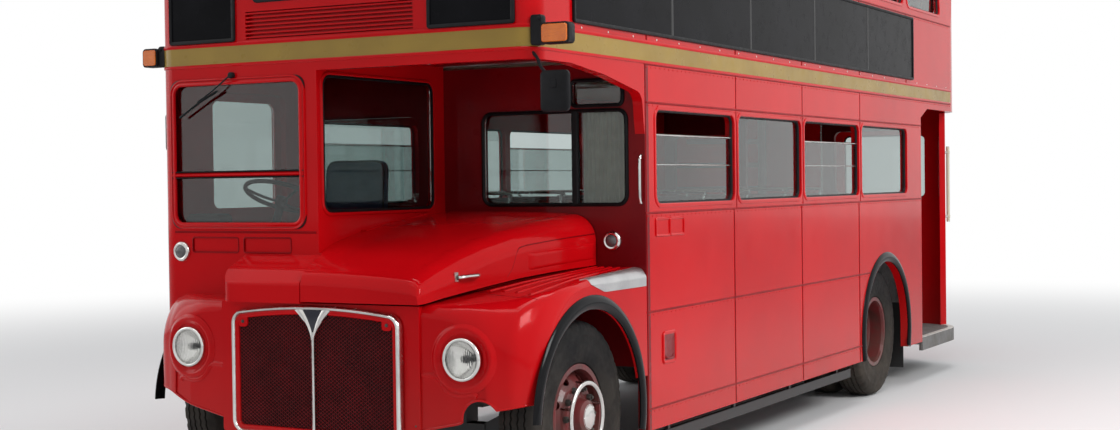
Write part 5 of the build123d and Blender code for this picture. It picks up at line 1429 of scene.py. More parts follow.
@dataclass
class Windows:
    """Painted and rubber surrounds of every window, and the bright rails of those that open."""

    lower: Pairs = (
        (1.6133, 2.7697), (2.8397, 3.9781), (4.0481, 5.2499), (5.3199, 6.5102))
    upper: Pairs = (
        (0.3997, 1.4409), (1.5669, 2.7019), (2.8279, 3.9238), (4.0498, 5.1840), (5.3100, 6.4491),
        (6.5751, 7.5599))
    lower_span: tuple[float, float] = (1.616, 2.150)
    upper_span: tuple[float, float] = (3.180, 3.720)
    corner: float = 0.055
    cab_side_x: float = -0.110
    painted: Pairs = (
        (-0.001, -0.020), (-0.001, 0.001), (0.004, 0.005), (0.020, 0.005), (0.024, 0.0015), (0.024, -0.003))
    rubber: Pairs = (
        (-0.013, -0.0255), (-0.012, -0.019), (-0.006, -0.013), (0.0015, -0.010), (0.0015, -0.0255))

    def build(self) -> None:
        """Make the surrounds and rails."""
        framed = [(wall, (*opening, *heights)) for wall in SIDES
                  for openings, heights in ((self.lower, self.lower_span), (self.upper, self.upper_span))
                  for opening in openings]
        framed += [(Wall.FRONT, (*opening, *self.upper_span))
                   for opening in ((-1.060, -0.045), (0.045, 1.060))]
        painted = [surround(wall, span, self.corner, self.painted) for wall, span in framed]
        framed.append((Wall.REAR, (0.060, 0.860, 1.556, 2.150)))
        rubber = [surround(wall, span, self.corner, self.rubber) for wall, span in framed]
        low_rails = ((2.009, 0.007, 0.010, 1.196), (1.838, 0.004, 0.006, 1.196))
        high_rail = (3.520, 0.009, 0.010, 1.172)
        opened = [(opening, size) for opening in self.lower[0::2] for size in low_rails]
        opened += [(self.upper[number], high_rail) for number in (1, 3, 4)]
        rails = [rail(wall, (start + 0.012, height), (end - 0.012, height), half, proud, base)
                 for wall in SIDES for (start, end), (height, half, proud, base) in opened]
        fit_piece("window_frames", joined(painted), RED)
        fit_piece("window_rubbers", joined(rubber), RUBBER)
        fit_piece("window_rails", joined(rails), POLISHED)
        self._bulkhead()
        self._cab()
        self._emergency()

    def _bulkhead(self) -> None:
        """Bulkhead window, its upright bar, the route glass and the gathered curtain behind."""
        section = [(-0.010, 0.002), (-0.010, 0.009), (0.0, 0.014), (0.010, 0.009), (0.012, 0.0)]
        span = (0.165, 1.105, 1.616, 2.150)
        route = (0.756, 1.083, 2.179, 2.322)
        rubbers = [surround(Wall.FRONT, span, self.corner, section, BULKHEAD),
                   surround(Wall.FRONT, route, 0.030, section, BULKHEAD)]
        fit_piece("bulkhead_rubbers", joined(rubbers), RUBBER)
        grab = points_at(1.198, BULKHEAD + np.array([0.002, -0.026, -0.030, -0.026, 0.002]),
                         (1.618, 1.640, 1.755, 1.870, 1.892))
        fit_piece("pillar_handle", tube(grab, 0.008, 10, 5), POLISHED)
        bar = moulding(points_at(0.777, BULKHEAD - 0.004, (1.612, 2.154)), (1, 0, 0), FORWARD,
                       [(-0.020, -0.016), (-0.020, 0.003), (-0.014, 0.009), (0.014, 0.009), (0.020, 0.003),
                        (0.020, -0.016)])
        fit_piece("bulkhead_bar", bar, RUBBER)
        curtain_line = points_at((0.790, 1.112), CLOTH_LINE, 2.171)
        fit_piece("curtain_rail", tube(curtain_line, 0.0055, 10, 2), POLISHED)
        cloth, width, drop = self._curtain()
        curtain = fit_piece("saloon_curtain", cloth, CURTAIN)

    @staticmethod
    def _curtain() -> tuple[Shape, float, float]:
        """Gathered curtain: its depth is a sine of the distance across, deeper and wandering lower down.

        Returns:
            The cloth, its flat width along the folds, and its drop.
        """
        top, drop = 2.170, 0.565
        across = np.linspace(0.800, 1.102, 300)
        height = np.linspace(top, top - drop, 12)
        fall = (top - height)[:, None] / drop
        wander = 0.0035 * fall * np.sin(across[None] * 37.0 + 2.0)
        fold = (0.0055 + 0.0055 * fall) * np.sin((across[None] + wander) * TURN / 0.026 + 0.5 * fall)
        fold = fold + 0.002 * fall * np.sin(across[None] * 61.0)
        face = points_at(across, CLOTH_LINE + fold, height[:, None])
        width = np.linalg.norm(np.diff(face, axis=1), axis=-1).sum(1).mean()
        return two_faced(face, face + [0, 0.0016, 0]), float(width), drop

    def _cab(self) -> None:
        """Windscreen and cab side window surrounds, and the bar across the windscreen."""
        seal = [(-0.012, -0.004), (-0.012, 0.0055), (-0.004, 0.0085), (0.003, 0.0055), (0.003, -0.002)]
        frame_bead = [(-0.002, 0.0), (-0.002, 0.0125), (0.006, 0.0155), (0.013, 0.0125), (0.018, 0.0075),
                      (0.024, 0.0075), (0.029, 0.0105), (0.033, 0.0085), (0.035, 0.0), (0.035, -0.001)]
        screen = (-1.118, -0.190, 1.515, 2.335)
        side = (0.268, 1.340, 1.600, 2.335)
        side_bead = [(0.003, -0.001), (0.003, 0.008), (0.010, 0.011), (0.019, 0.008), (0.022, 0.0),
                     (0.022, -0.001)]
        seals = [surround(Wall.FRONT, screen, 0.060, seal),
                 surround(Wall.NEARSIDE, side, 0.060, seal, self.cab_side_x)]
        fit_piece("cab_rubbers", joined(seals), RUBBER)
        inset = np.array(screen) + [0.030, -0.030, 0.030, -0.030]
        beads = [surround(Wall.FRONT, inset, 0.050, frame_bead),
                 surround(Wall.NEARSIDE, side, 0.060, side_bead, self.cab_side_x)]
        fit_piece("screen_frame", joined(beads), RED)
        edges = [rail(Wall.FRONT, (-1.110, height), (-0.198, height), 0.005, 0.017, DECK_FRONT + 0.004)
                 for height in (1.795, 1.827)]
        fit_piece("screen_bar_rubbers", joined(edges), RUBBER)
        bar = rail(Wall.FRONT, (-1.112, 1.811), (-0.196, 1.811), 0.014, 0.019, DECK_FRONT + 0.006)
        fit_piece("screen_bar", bar, RED)
        fit_piece("wiper", self._wiper(), PLASTIC)
        edge = [(-0.004, -0.006), (-0.004, 0.002), (0.0, 0.0035), (0.004, 0.002), (0.004, -0.006)]
        flaps = [surround(Wall.FRONT, span, 0.014, edge)
                 for span in ((-0.978, -0.654, 1.382, 1.464), (-0.616, -0.293, 1.382, 1.464))]
        crease = rail(Wall.FRONT, (-1.105, 1.494), (-0.125, 1.494), 0.006, 0.004)
        # Painted shade: the flap beads and the crease get a darker red for their thin shadow lines.
        fit_piece("cab_flap_beads", joined([*flaps, crease]), SEAM_AND_SHADE_RED)

    @staticmethod
    def _wiper() -> Shape:
        """Wiper with its pivot, arm and blade, parked across the offside top of the screen."""
        pivot = turned([(0.0, 0.018), (0.022, 0.017), (0.028, 0.010)], (-0.677, along(0.220), 2.352),
                       FORWARD, 20)
        arm = tube(points_at((-0.677, -0.800, -0.905), (0.197, 0.190, 0.194), (2.352, 2.268, 2.213)),
                   0.0045, steps=6)
        blade = tube(points_at((-0.770, -0.905, -1.040), (0.199, 0.198, 0.201), (2.268, 2.205, 2.130)),
                     0.0065, steps=6)
        return joined([pivot, arm, blade])

    def _emergency(self) -> None:
        """Rubber round the two panes of the emergency window, and its handle."""
        section = [(-0.011, -0.014), (-0.010, -0.003), (0.006, 0.001), (0.010, -0.003), (0.0, -0.014)]
        parts = [surround(Wall.REAR, (low, high, 3.141, 3.649), 0.040, section, LENGTH - 0.004)
                 for low, high in ((-0.509, -0.030), (0.030, 0.509))]
        fit_piece("exit_rubbers", joined(parts), RUBBER, "emergency_window")
        line = points_at((-0.09, -0.07, 0.07, 0.09), LENGTH - 0.0048, (3.112, 3.118, 3.118, 3.112))
        fit_piece("exit_handle", tube(line, 0.004), POLISHED, "emergency_window")


# Coachwork


@dataclass
class Coachwork:
    """Beads, rivets, band edges, arch rubbers and other trim of the body."""

    joints: Sequence[float] = (2.805, 4.013, 5.285)
    low_joints: Sequence[float] = (2.762, 3.987, 5.247)
    front_edge: float = BULKHEAD
    rivet_pitch: float = 0.060
    roof_joints: Sequence[float] = (1.800, 2.765, 3.985, 5.245, 6.510)
    shoulder: float = 0.380

    def build(self) -> None:
        """Make the trim."""
        # Painted shade: the side beads get a darker red for their shadow lines over the dark joints.
        fit_piece("side_beads", self._beads(), SEAM_AND_SHADE_RED)
        fit_piece("side_rivets", self._rivets(), RED)
        fit_piece("band_beads", self._band_beads(), RED)
        fit_piece("band_rivets", self._band_rivets(), WHITE)
        fit_piece("arch_rubbers", self._arch_rubbers().both_sides(), ARCH_BLACK, replaced=["arch_trims"])
        fit_piece("board_frames", self._board_frames(), PLASTIC)
        fit_piece("board_joints", self._board_joints(), CHASSIS)
        fit_piece("platform_edge", self._platform_edge(), WHITE)
        fit_piece("plate_holder", self._plate_holder(), RED)
        fit_piece("filler_frame", self._filler(), RED)
        fit_piece("filler_flap", self._filler_flap(), MESH)
        fit_piece("roof_beads", self._roof_beads(), ROOF_RED)

    def _levels(self) -> Sequence[tuple[float, float, float]]:
        """Height, start and end station of each level joint of the side."""
        return (
            (0.459, self.front_edge, 5.300), (1.007, self.front_edge, 5.500), (1.565, self.front_edge, 6.930),
            (2.187, self.front_edge + 0.02, 6.930), (2.402, self.front_edge, BODY_END),
            (3.105, 0.330, BODY_END), (3.800, 0.360, BODY_END),
        )

    def _beads(self) -> Shape:
        """Half-round beads over the joints of both sides."""
        parts = []
        for wall in SIDES:
            for height, start, end in self._levels():
                parts.append(rail(wall, (start, height), (end, height), 0.0065, 0.004))
            for stations, low, high, half, proud in (
                    ((self.front_edge + 0.012, *self.low_joints), 0.345, 1.562, 0.0065, 0.004),
                    ((self.front_edge + 0.012, *self.joints), 1.568, 2.395, 0.0055, 0.003),
                    ((*self.joints, 6.512, 1.504), 2.530, 3.100, 0.009, 0.004)):
                parts += [rail(wall, (station, low), (station, high), half, proud) for station in stations]
        return joined(parts)

    def _rivets(self) -> Shape:
        """Rivet heads along the beads of both sides."""
        parts = []
        for wall in SIDES:
            for height, start, end in self._levels():
                if 3.7 > height > 0.4:
                    across = np.arange(start + 0.03, end - 0.02, self.rivet_pitch)
                    places = on_wall(wall, across, height - 0.017)
                    parts.append(domes(places, (wall.value, 0, 0), 0.0055, 0.0030, 8))
            for station in (self.front_edge + 0.030, *self.low_joints):
                height = np.arange(0.37, 1.56, self.rivet_pitch)
                places = on_wall(wall, station + 0.017, height)
                parts.append(domes(places, (wall.value, 0, 0), 0.0042, 0.0022, 6))
        return joined(parts)

    def _band_line(self, proud: float, height: float) -> np.ndarray:
        """Line round the front and both sides of the body at a height, with round front corners."""
        corner = 0.110
        reach = HALF_WIDTH + proud
        angle = np.linspace(0, math.pi / 2, 9)
        right = np.stack([reach - corner - proud + (corner + proud) * np.sin(angle),
                          DECK_FRONT + corner - (corner + proud) * np.cos(angle)], -1)
        left = right[::-1] * [-1, 1]
        flat = np.concatenate([[(-reach, BODY_END)], left, right, [(reach, BODY_END)]])
        return points_at(flat[:, 0], flat[:, 1], height)

    def _band_beads(self) -> Shape:
        """Beads along the top and bottom of the gold band."""
        parts = []
        for height, half in ((2.411, 0.008), (2.524, 0.011)):
            line = self._band_line(0.0, height)
            lift = unit(self._band_line(1.0, height) - line)
            section = [(-half, -0.001), (-half, 0.004), (-half * 0.5, 0.0075), (half * 0.5, 0.0075),
                       (half, 0.004), (half, -0.001)]
            parts.append(moulding(line, (0, 0, 1), lift, section))
        return joined(parts)

    def _band_rivets(self) -> Shape:
        """Pale rivets along the bead above the gold band."""
        across = np.arange(0.42, 7.85, 0.305)
        return joined([domes(on_wall(wall, across, 2.545), (wall.value, 0, 0),
                             0.006, 0.003, 8) for wall in SIDES])

    def _arch_rubbers(self) -> Shape:
        """Bulged rubber strips round the front and rear arches of a side."""
        parts = []
        radius = 0.604
        for station, start, end in ((FRONT_AXLE, -14, 176), (REAR_AXLE, -16, 196)):
            angle = np.radians(np.linspace(start, end, 60))
            out = np.column_stack([np.zeros(60), np.cos(angle), np.sin(angle)])
            path = out * radius + [HALF_WIDTH, along(station), HUB_HEIGHT]
            section = [(-0.038, -0.001), (-0.038, 0.008), (-0.028, 0.017), (-0.006, 0.021), (0.016, 0.018),
                       (0.032, 0.010), (0.038, 0.003), (0.038, -0.001)]
            parts.append(moulding(path, out, (1, 0, 0), section))
        return joined(parts)

    def _board_frames(self) -> Shape:
        """Thin frames round the bare boards of both sides and the front."""
        section = [(-0.012, 0.0), (-0.012, 0.006), (-0.006, 0.009), (0.004, 0.009), (0.008, 0.004),
                   (0.008, -0.006)]
        parts = [surround(wall, (0.629, 6.680, 2.572, 3.080), 0.010, section, HALF_WIDTH + 0.008)
                 for wall in SIDES]
        for low, high in ((-1.107, -0.658), (0.607, 1.107)):
            parts.append(surround(Wall.FRONT, (low, high, 2.542, 3.080), 0.010, section, DECK_FRONT - 0.008))
        parts.append(surround(Wall.FRONT, (-0.520, 0.520, 2.745, 3.085), 0.020, section, DECK_FRONT))
        return joined(parts)

    def _board_joints(self) -> Shape:
        """Upright cover strips between the panels of the side boards."""
        return joined([rail(wall, (station, 2.585), (station, 3.068), 0.014, 0.003, HALF_WIDTH + 0.008)
                       for wall in SIDES for station in (1.839, 3.049, 4.260, 5.470)])

    def _platform_edge(self) -> Shape:
        """White strip along the platform's step."""
        corner_start, corner_radius = 7.882, 0.5
        line = np.array([(HALF_WIDTH, station) for station in (6.945, 7.30, corner_start)])
        angle = np.linspace(0, math.pi * 0.42, 10)[1:]
        corner = np.stack([HALF_WIDTH - corner_radius + corner_radius * np.cos(angle),
                           corner_start + corner_radius * np.sin(angle)], -1)
        flat = np.concatenate([line, corner])
        path = points_at(flat[:, 0], flat[:, 1], 0.372)
        inward = np.concatenate([np.tile([-1.0, 0, 0], (3, 1)),
                                 np.column_stack([-np.cos(angle), -np.sin(angle), np.zeros(9)])])
        return moulding(path, inward, (0, 0, 1), [(0.002, 0.0), (0.003, 0.004), (0.050, 0.004), (0.051, 0.0)])

    def _plate_holder(self) -> Shape:
        """Raised edges of two small blank plate holders below the first window."""
        section = [(-0.007, 0.0), (-0.007, 0.004), (-0.003, 0.007), (0.002, 0.007), (0.006, 0.003),
                   (0.006, -0.001)]
        return joined([surround(Wall.NEARSIDE, (start, start + 0.185, 1.434, 1.531), 0.010, section)
                       for start in (1.600, 1.797)])

    def _roof_line(self) -> tuple[np.ndarray, np.ndarray]:
        """Section of the roof as (x, height) rows, and the outward direction at each."""
        corners = np.array([(1.185, 3.803), (1.163, 4.305), (0.0, 4.380)])
        arc, out = corner_arc(corners, 1, self.shoulder, 16)
        line = np.concatenate([corners[:1], arc, corners[2:]])
        out = np.concatenate([out[:1], out, [(0.0, 1.0)]])
        return np.concatenate([line, line[-2::-1] * [-1, 1]]), np.concatenate([out, out[-2::-1] * [-1, 1]])

    def _roof_beads(self) -> Shape:
        """Cover strips over the joints of the roof panels, from side to side."""
        line, out = self._roof_line()
        section = [(-0.014, -0.002), (-0.014, 0.0015), (-0.007, 0.0035), (0.007, 0.0035), (0.014, 0.0015),
                   (0.014, -0.002)]
        parts = []
        for station in self.roof_joints:
            path = points_at(line[:, 0], station, line[:, 1])
            strip = moulding(path, (0, 1, 0), np.insert(out, 1, 0.0, axis=1), section)
            strip.points[:, 2] = np.minimum(strip.points[:, 2], ROOF_TOP)
            parts.append(strip)
        return joined(parts)

    def _filler(self) -> Shape:
        """Raised frame of the filler on the nearside."""
        section = [(-0.010, -0.001), (-0.010, 0.005), (-0.004, 0.009), (0.006, 0.009), (0.012, 0.003),
                   (0.012, -0.001)]
        return surround(Wall.NEARSIDE, (1.682, 1.842, 0.705, 0.872), 0.018, section)

    @staticmethod
    def _filler_flap() -> Shape:
        """Dished flap inside the frame, with the bent pull along its foot."""
        loop, _ = rounded_loop((1.690, 1.834, 0.713, 0.864), 0.014, 5)
        levels = ((1.0, -0.001), (1.0, 0.003), (0.92, 0.0032), (0.86, 0.0012), (0.3, 0.0008))
        rings = np.stack([on_wall(Wall.NEARSIDE, *shrunk(loop, share).T, proud, HALF_WIDTH)
                          for share, proud in levels])
        reach = HALF_WIDTH + np.array([0.002, 0.007, 0.007, 0.002])
        line = points_at(reach, (1.705, 1.730, 1.795, 1.820), (0.742, 0.728, 0.728, 0.742))
        pull = tube(line, 0.005, 8, 4)
        return joined([loft(rings), pull])


# Front of the upper deck, mirrors and signals


@dataclass(frozen=True)
class CornerSet:
    """Signal and mirror of one front corner; X values are distances out from the middle.

    Attributes:
        side: 1 on the nearside, -1 on the offside.
        signal: Inner X, outer X and middle station of the signal's housing.
        mirror: Inner X, outer X, middle station, low and high of the mirror's head.
        bracket_high: Top of the signal's bracket.
        arm: Line of the mirror's arm as (X, station, height).
    """

    side: int
    signal: tuple[float, float, float]
    mirror: tuple[float, float, float, float, float]
    bracket_high: float
    arm: Sequence[tuple[float, float, float]]


NEAR_CORNER = CornerSet(1, (1.250, 1.412, 0.258), (1.232, 1.392, 0.258, 2.092, 2.297), 2.573, (
    (1.180, 0.262, 2.398), (1.212, 0.262, 2.362), (1.232, 0.262, 2.318), (1.262, 0.262, 2.286),
    (1.306, 0.262, 2.262), (1.312, 0.262, 2.230)))
OFF_CORNER = CornerSet(-1, (1.234, 1.342, 0.270), (1.247, 1.367, 0.450, 1.945, 2.180), 2.540, (
    (1.2185, 0.450, 2.225), (1.262, 0.450, 2.228), (1.300, 0.450, 2.215), (1.307, 0.450, 2.150)))


@dataclass
class UpperFront:
    """Turn signals and mirrors at the front corners of the deck, each side from its own sizes."""

    corners: Sequence[CornerSet] = (NEAR_CORNER, OFF_CORNER)
    signal_low: float = 2.424
    signal_high: float = 2.530

    def build(self) -> None:
        """Make the fittings."""
        fit_piece("signal_housings", self._both(self._housing), PLASTIC)
        fit_piece("signal_lenses", self._both(self._signal_lens), AMBER)
        fit_piece("mirror_heads", self._both(self._mirror_head), PLASTIC, replaced=["mirrors"])
        fit_piece("mirror_faces", self._both(self._mirror_face), REFLECTOR)

    def _both(self, make: Callable[[CornerSet], Shape]) -> Shape:
        """One shape of both corners, the offside one turned over."""
        shapes = [make(corner) for corner in self.corners]
        return joined([shape if corner.side > 0 else shape.mirrored()
                       for shape, corner in zip(shapes, self.corners)])

    @staticmethod
    def _plate(span: Sequence[float], radius: float, levels: Pairs) -> Shape:
        """Rounded block: its outline in X and height at each (share of the outline, station)."""
        return plate(rounded_loop(span, radius, 6)[0], levels)

    def _housing(self, corner: CornerSet) -> Shape:
        """Black housing of a turn signal with its moulded bracket on the body's corner."""
        inner, outer, station = corner.signal
        span = (inner, outer, self.signal_low, self.signal_high)
        box = self._plate(span, 0.020, [(0.97, station + 0.034), (1.0, station + 0.028),
                                        (1.0, station - 0.030), (0.95, station - 0.034)])
        bracket = self._plate((1.188, inner + 0.004, self.signal_low - 0.002, corner.bracket_high), 0.014,
                              [(0.96, station + 0.022), (1.0, station + 0.018), (1.0, station - 0.016),
                               (0.93, station - 0.021)])
        knob = domes(np.array([(inner - 0.014, along(station - 0.020), corner.bracket_high - 0.020)]),
                     FORWARD, 0.011, 0.008, 12)
        return joined([box, bracket, knob])

    def _signal_lens(self, corner: CornerSet) -> Shape:
        """Amber lens on the front of a turn signal, framed by the housing's edge."""
        inner, outer, station = corner.signal
        span = (inner + 0.009, outer - 0.009, self.signal_low + 0.009, self.signal_high - 0.009)
        return self._plate(span, 0.014, [(1.0, station - 0.030), (1.0, station - 0.036),
                                         (0.94, station - 0.040)])

    def _mirror_head(self, corner: CornerSet) -> Shape:
        """Mirror back with a rounded shell, its clamp, and its bent arm to the body."""
        inner, outer, station, low, high = corner.mirror
        shell = self._plate((inner, outer, low, high), 0.025,
                            [(0.80, station - 0.015), (0.93, station - 0.011), (1.0, station - 0.003),
                             (1.0, station + 0.012)])
        arm = tube(smooth(points_at(*np.array(corner.arm).T), 4, False), 0.0085, 10, 1)
        clamp_x, _, clamp_z = corner.arm[-1]
        clamp = self._plate((clamp_x - 0.017, clamp_x + 0.017, clamp_z - 0.022, clamp_z + 0.022), 0.008,
                            [(0.92, station - 0.019), (1.0, station - 0.015), (1.0, station - 0.004)])
        return joined([shell, arm, clamp])

    def _mirror_face(self, corner: CornerSet) -> Shape:
        """Silvered glass of a mirror, facing the driver."""
        inner, outer, station, low, high = corner.mirror
        return self._plate((inner + 0.008, outer - 0.008, low + 0.008, high - 0.008), 0.020,
                           [(1.0, station + 0.010), (1.0, station + 0.0148)])


# Inside


@dataclass(frozen=True)
class PadStyle:
    """Form of a stuffed pad.

    Attributes:
        boxy: Power of the rounding; smaller is squarer.
        pull: Share by which the sides draw in between the corners.
        crown: Extra height in the middle of the face, over the pad's half thickness.
    """

    boxy: float = 0.32
    pull: float = 0.045
    crown: float = 0.35


def pad_rings(centre: Sequence[float], half_width: float, half_depth: float, half_thick: float,
              lean: float, style: PadStyle) -> np.ndarray:
    """Rings of a crowned pad.

    Ring by ring the outline is a superellipse drawn in between its corners; the face swells as the
    fourth power of its distance from the rim. Width runs along X, and lean turns the pad's depth
    from level (0) towards upright.

    Args:
        centre: Middle of the pad.
        half_width: Half its size along X.
        half_depth: Half its size along the lean.
        half_thick: Half its thickness.
        lean: Angle of its depth above level.
        style: Form of the stuffing.

    Returns:
        Points as (ring, place round it, 3).
    """
    latitude = np.radians(np.array([-84, -70, -52, -30, -10, 10, 30, 52, 66, 76, 84]))
    flat = circle(36)
    outline = np.sign(flat) * np.abs(flat) ** style.boxy
    outline = outline * (1 - style.pull * (1 - np.abs(outline[:, ::-1]) ** 2))
    reach = np.cos(latitude) ** style.boxy
    rise = np.sign(latitude) * np.abs(np.sin(latitude)) ** 0.5
    swell = np.where(rise > 0, style.crown * (1 - reach**4) * rise, 0.0)
    across = outline[None, :, 0] * reach[:, None] * half_width
    deep = outline[None, :, 1] * reach[:, None] * half_depth
    height = ((rise + swell) / (1 + style.crown))[:, None] * half_thick * np.ones((1, 36))
    ahead = np.array([0.0, math.cos(lean), math.sin(lean)])
    face = np.array([0.0, -math.sin(lean), math.cos(lean)])
    return (np.asarray(centre) + across[..., None] * [1.0, 0, 0] + deep[..., None] * ahead
            + height[..., None] * face)


def piping(rings: np.ndarray, ring: int, radius: float) -> Shape:
    """Sewn cord along one ring of a pad."""
    return tube(rings[ring], radius, 5, 1, closed=True)


@dataclass(frozen=True)
class SeatDeck:
    """Rows of seats of one deck.

    Attributes:
        name: Name of the deck in the pieces' names.
        base: Height of its floor.
        first: Station of the first row's front.
        span: Inner and outer X of a seat.
        rows: Count of rows on the nearside and on the offside.
    """

    name: str
    base: float
    first: float
    span: tuple[float, float]
    rows: tuple[int, int]


DECKS = (SeatDeck("lower", 0.760, 2.050, (0.280, 1.153), (4, 4)),
         SeatDeck("upper", 2.560, 1.150, (0.280, 1.115), (9, 8)))


@dataclass
class Interior:
    """What shows through the glass and the open platform."""

    pitch: float = 0.720
    back_lean: float = math.radians(77.5)
    bench_half: float = 0.620
    bench_station: float = REAR_AXLE

    def build(self) -> None:
        """Make the linings, seats, cab fittings and poles."""
        fit_piece("lower_ceiling", self._ceiling(), CREAM, soft_edges=False)
        for deck in DECKS:
            self._deck_seats(deck)
        self._benches()
        self._driver()
        fit_piece("corner_grab_pole", self._grab_pole(), CREAM)

    def _ceiling(self) -> Shape:
        """Cream lining under the upper floor."""
        return blocks([(-1.150, along(1.530), 2.4330)], [(1.150, along(6.850), 2.4395)])

    def _spread(self, shape: Shape, deck: SeatDeck) -> Shape:
        """A seat's piece at every row of a deck, from the one at the first nearside row."""
        places = [(side, row) for side, count in zip((1, -1), deck.rows) for row in range(count)]
        return joined([(shape if side > 0 else shape.mirrored()).moved((0, self.pitch * row, 0))
                       for side, row in places])

    def _deck_seats(self, deck: SeatDeck) -> None:
        """Cushions, backs, back shells, legs and grab rails of one deck's seats."""
        inner, outer = deck.span
        middle, quarter = (inner + outer) / 2, (outer - inner) / 4
        front = along(deck.first)
        style = PadStyle()
        cushions, backs, cords, back_cords = [], [], [], []
        for x in (middle - quarter, middle + quarter):
            low = pad_rings((x, front + 0.196, deck.base + 0.388), quarter - 0.002, 0.192, 0.054,
                            -0.026, style)
            high = pad_rings((x, front + 0.461, deck.base + 0.655), quarter - 0.002, 0.218, 0.034,
                             self.back_lean, style)
            cushions.append(loft(low))
            backs.append(loft(high))
            cords.append(piping(low, 6, 0.0042))
            back_cords.append(piping(high, 6, 0.0042))
        seats = fit_piece(f"{deck.name}_seat_cushions", self._spread(joined(cushions), deck), MOQUETTE,
                          replaced=["seats"])
        rests = fit_piece(f"{deck.name}_seat_backs", self._spread(joined(backs), deck), MOQUETTE)
        fit_piece(f"{deck.name}_seat_piping", self._spread(joined(cords + back_cords), deck), MAROON)
        fit_piece(f"{deck.name}_seat_shells", self._spread(self._shell(deck), deck), MAROON)
        fit_piece(f"{deck.name}_seat_legs", self._spread(self._legs(deck), deck), CHASSIS)
        fit_piece(f"{deck.name}_seat_rails", self._spread(self._grab_rail(deck), deck), HANDRAIL)

    def _shell(self, deck: SeatDeck) -> Shape:
        """Pressed sheet behind a seat's back and the tray under its cushion, as one folded strip."""
        line = np.array([(0.010, 0.331), (0.380, 0.331), (0.458, 0.338), (0.470, 0.420), (0.557, 0.876)])
        line = smooth(line, 5, False)
        ahead = heading(line)
        across = np.stack([ahead[:, 1], -ahead[:, 0]], -1)
        inner, outer = deck.span
        left, right = inner + 0.012, outer - 0.012
        corners = ((left, 0.0), (right, 0.0), (right, -0.010), (left, -0.010))
        back, rise = line.T
        rings = [points_at(x, deck.first + back + across[:, 0] * lift, deck.base + rise + across[:, 1] * lift)
                 for x, lift in corners]
        return loft(np.stack(rings, 1))

    def _legs(self, deck: SeatDeck) -> Shape:
        """Bent tube under the gangway side of a seat, with its two feet, and two rails to the wall."""
        x = deck.span[0] + 0.060
        front = along(deck.first)
        loop = points_at(x, deck.first + np.array([0.105, 0.115, 0.150, 0.395, 0.430, 0.440]),
                         deck.base + np.array([0.012, 0.270, 0.312, 0.312, 0.270, 0.012]))
        hoop = tube(loop, 0.0135, 8, 3)
        feet = [turned([(0.0005, 0.019), (0.006, 0.019), (0.010, 0.014)], (x, front + s, deck.base),
                       (0, 0, 1), 12) for s in (0.105, 0.440)]
        cross = [tube(points_at((x, deck.span[1] - 0.010), deck.first + s, deck.base + 0.314), 0.0115, 8, 2)
                 for s in (0.165, 0.385)]
        return joined([hoop, *feet, *cross])

    def _grab_rail(self, deck: SeatDeck) -> Shape:
        """Bright grab rail over a seat's back, with its two uprights in the shell."""
        top = deck.base + 0.880
        line = along(deck.first) + 0.545
        inner, outer = deck.span
        path = [(inner + 0.045, line, top - 0.060), (inner + 0.045, line + 0.004, top + 0.005),
                (inner + 0.085, line + 0.006, top + 0.032), (outer - 0.120, line + 0.006, top + 0.032),
                (outer - 0.080, line + 0.004, top + 0.005), (outer - 0.080, line, top - 0.060)]
        return tube(path, 0.0105, 8, 4)

    def _benches(self) -> None:
        """Three cushions and three backs on each long seat over the rear wheels."""
        style = PadStyle(boxy=0.28, crown=0.25)
        seats, backs, cords = [], [], []
        third = self.bench_half * 2 / 3
        for step in (-1, 0, 1):
            line = along(self.bench_station + step * third)
            low = pad_rings((0.812, line, 1.220), 0.250, third / 2 - 0.002, 0.049, 0.0, style)
            high = pad_rings((0.0, 0.0, 0.0), third / 2 - 0.002, 0.148, 0.043, 0.0, style)
            high = np.stack([1.108 - high[..., 2], line + high[..., 0], 1.420 + high[..., 1]], -1)
            seats.append(loft(low))
            backs.append(loft(high))
            cords.extend([piping(low, 6, 0.0042), piping(high, 6, 0.0042)])
        bench = fit_piece("bench_cushions", joined(seats).both_sides(), MOQUETTE)
        rests = fit_piece("bench_backs", joined(backs).both_sides(), MOQUETTE)
        fit_piece("bench_piping", joined(cords).both_sides(), MAROON)

    def _driver(self) -> None:
        """Driver's seat, steering wheel, column and instrument pod."""
        style = PadStyle(boxy=0.36, crown=0.4)
        seat = pad_rings((DRIVER_X, along(1.115), 1.446), 0.236, 0.212, 0.058, 0.035, style)
        back = pad_rings((DRIVER_X, along(1.333), 1.700), 0.232, 0.202, 0.043, math.radians(86), style)
        cushion = fit_piece("driver_seat_cushion", loft(seat), DRIVER_CLOTH, replaced=["cab_controls"])
        rest = fit_piece("driver_seat_back", loft(back), DRIVER_CLOTH)
        fit_piece("driver_seat_piping", joined([piping(seat, 6, 0.004), piping(back, 6, 0.004)]), PLASTIC)
        fit_piece("driver_seat_stand", self._stand(), CHASSIS)
        fit_piece("steering_wheel", self._wheel(), PLASTIC)
        fit_piece("instrument_pod", self._pod(), PLASTIC)

    def _stand(self) -> Shape:
        """Pressed stand of the driver's seat: a pan, two straps up the back, and a flared pedestal."""
        levels = ((1.125, 0.098, 0.122), (1.140, 0.096, 0.120), (1.200, 0.075, 0.095), (1.340, 0.075, 0.095),
                  (1.375, 0.120, 0.140), (1.386, 0.190, 0.180), (1.392, 0.190, 0.180))
        flat = circle(32)
        corner = np.sign(flat) * np.abs(flat) ** 0.4
        rings = np.stack([points_at(DRIVER_X + corner[:, 0] * wide, 1.120 + corner[:, 1] * deep, height)
                          for height, wide, deep in levels])
        straps = [tube(points_at(x, (1.250, 1.352, 1.374, 1.376), (1.388, 1.400, 1.500, 1.780)), 0.010, 8, 4)
                  for x in (-0.780, -0.540)]
        return joined([loft(rings), *straps])

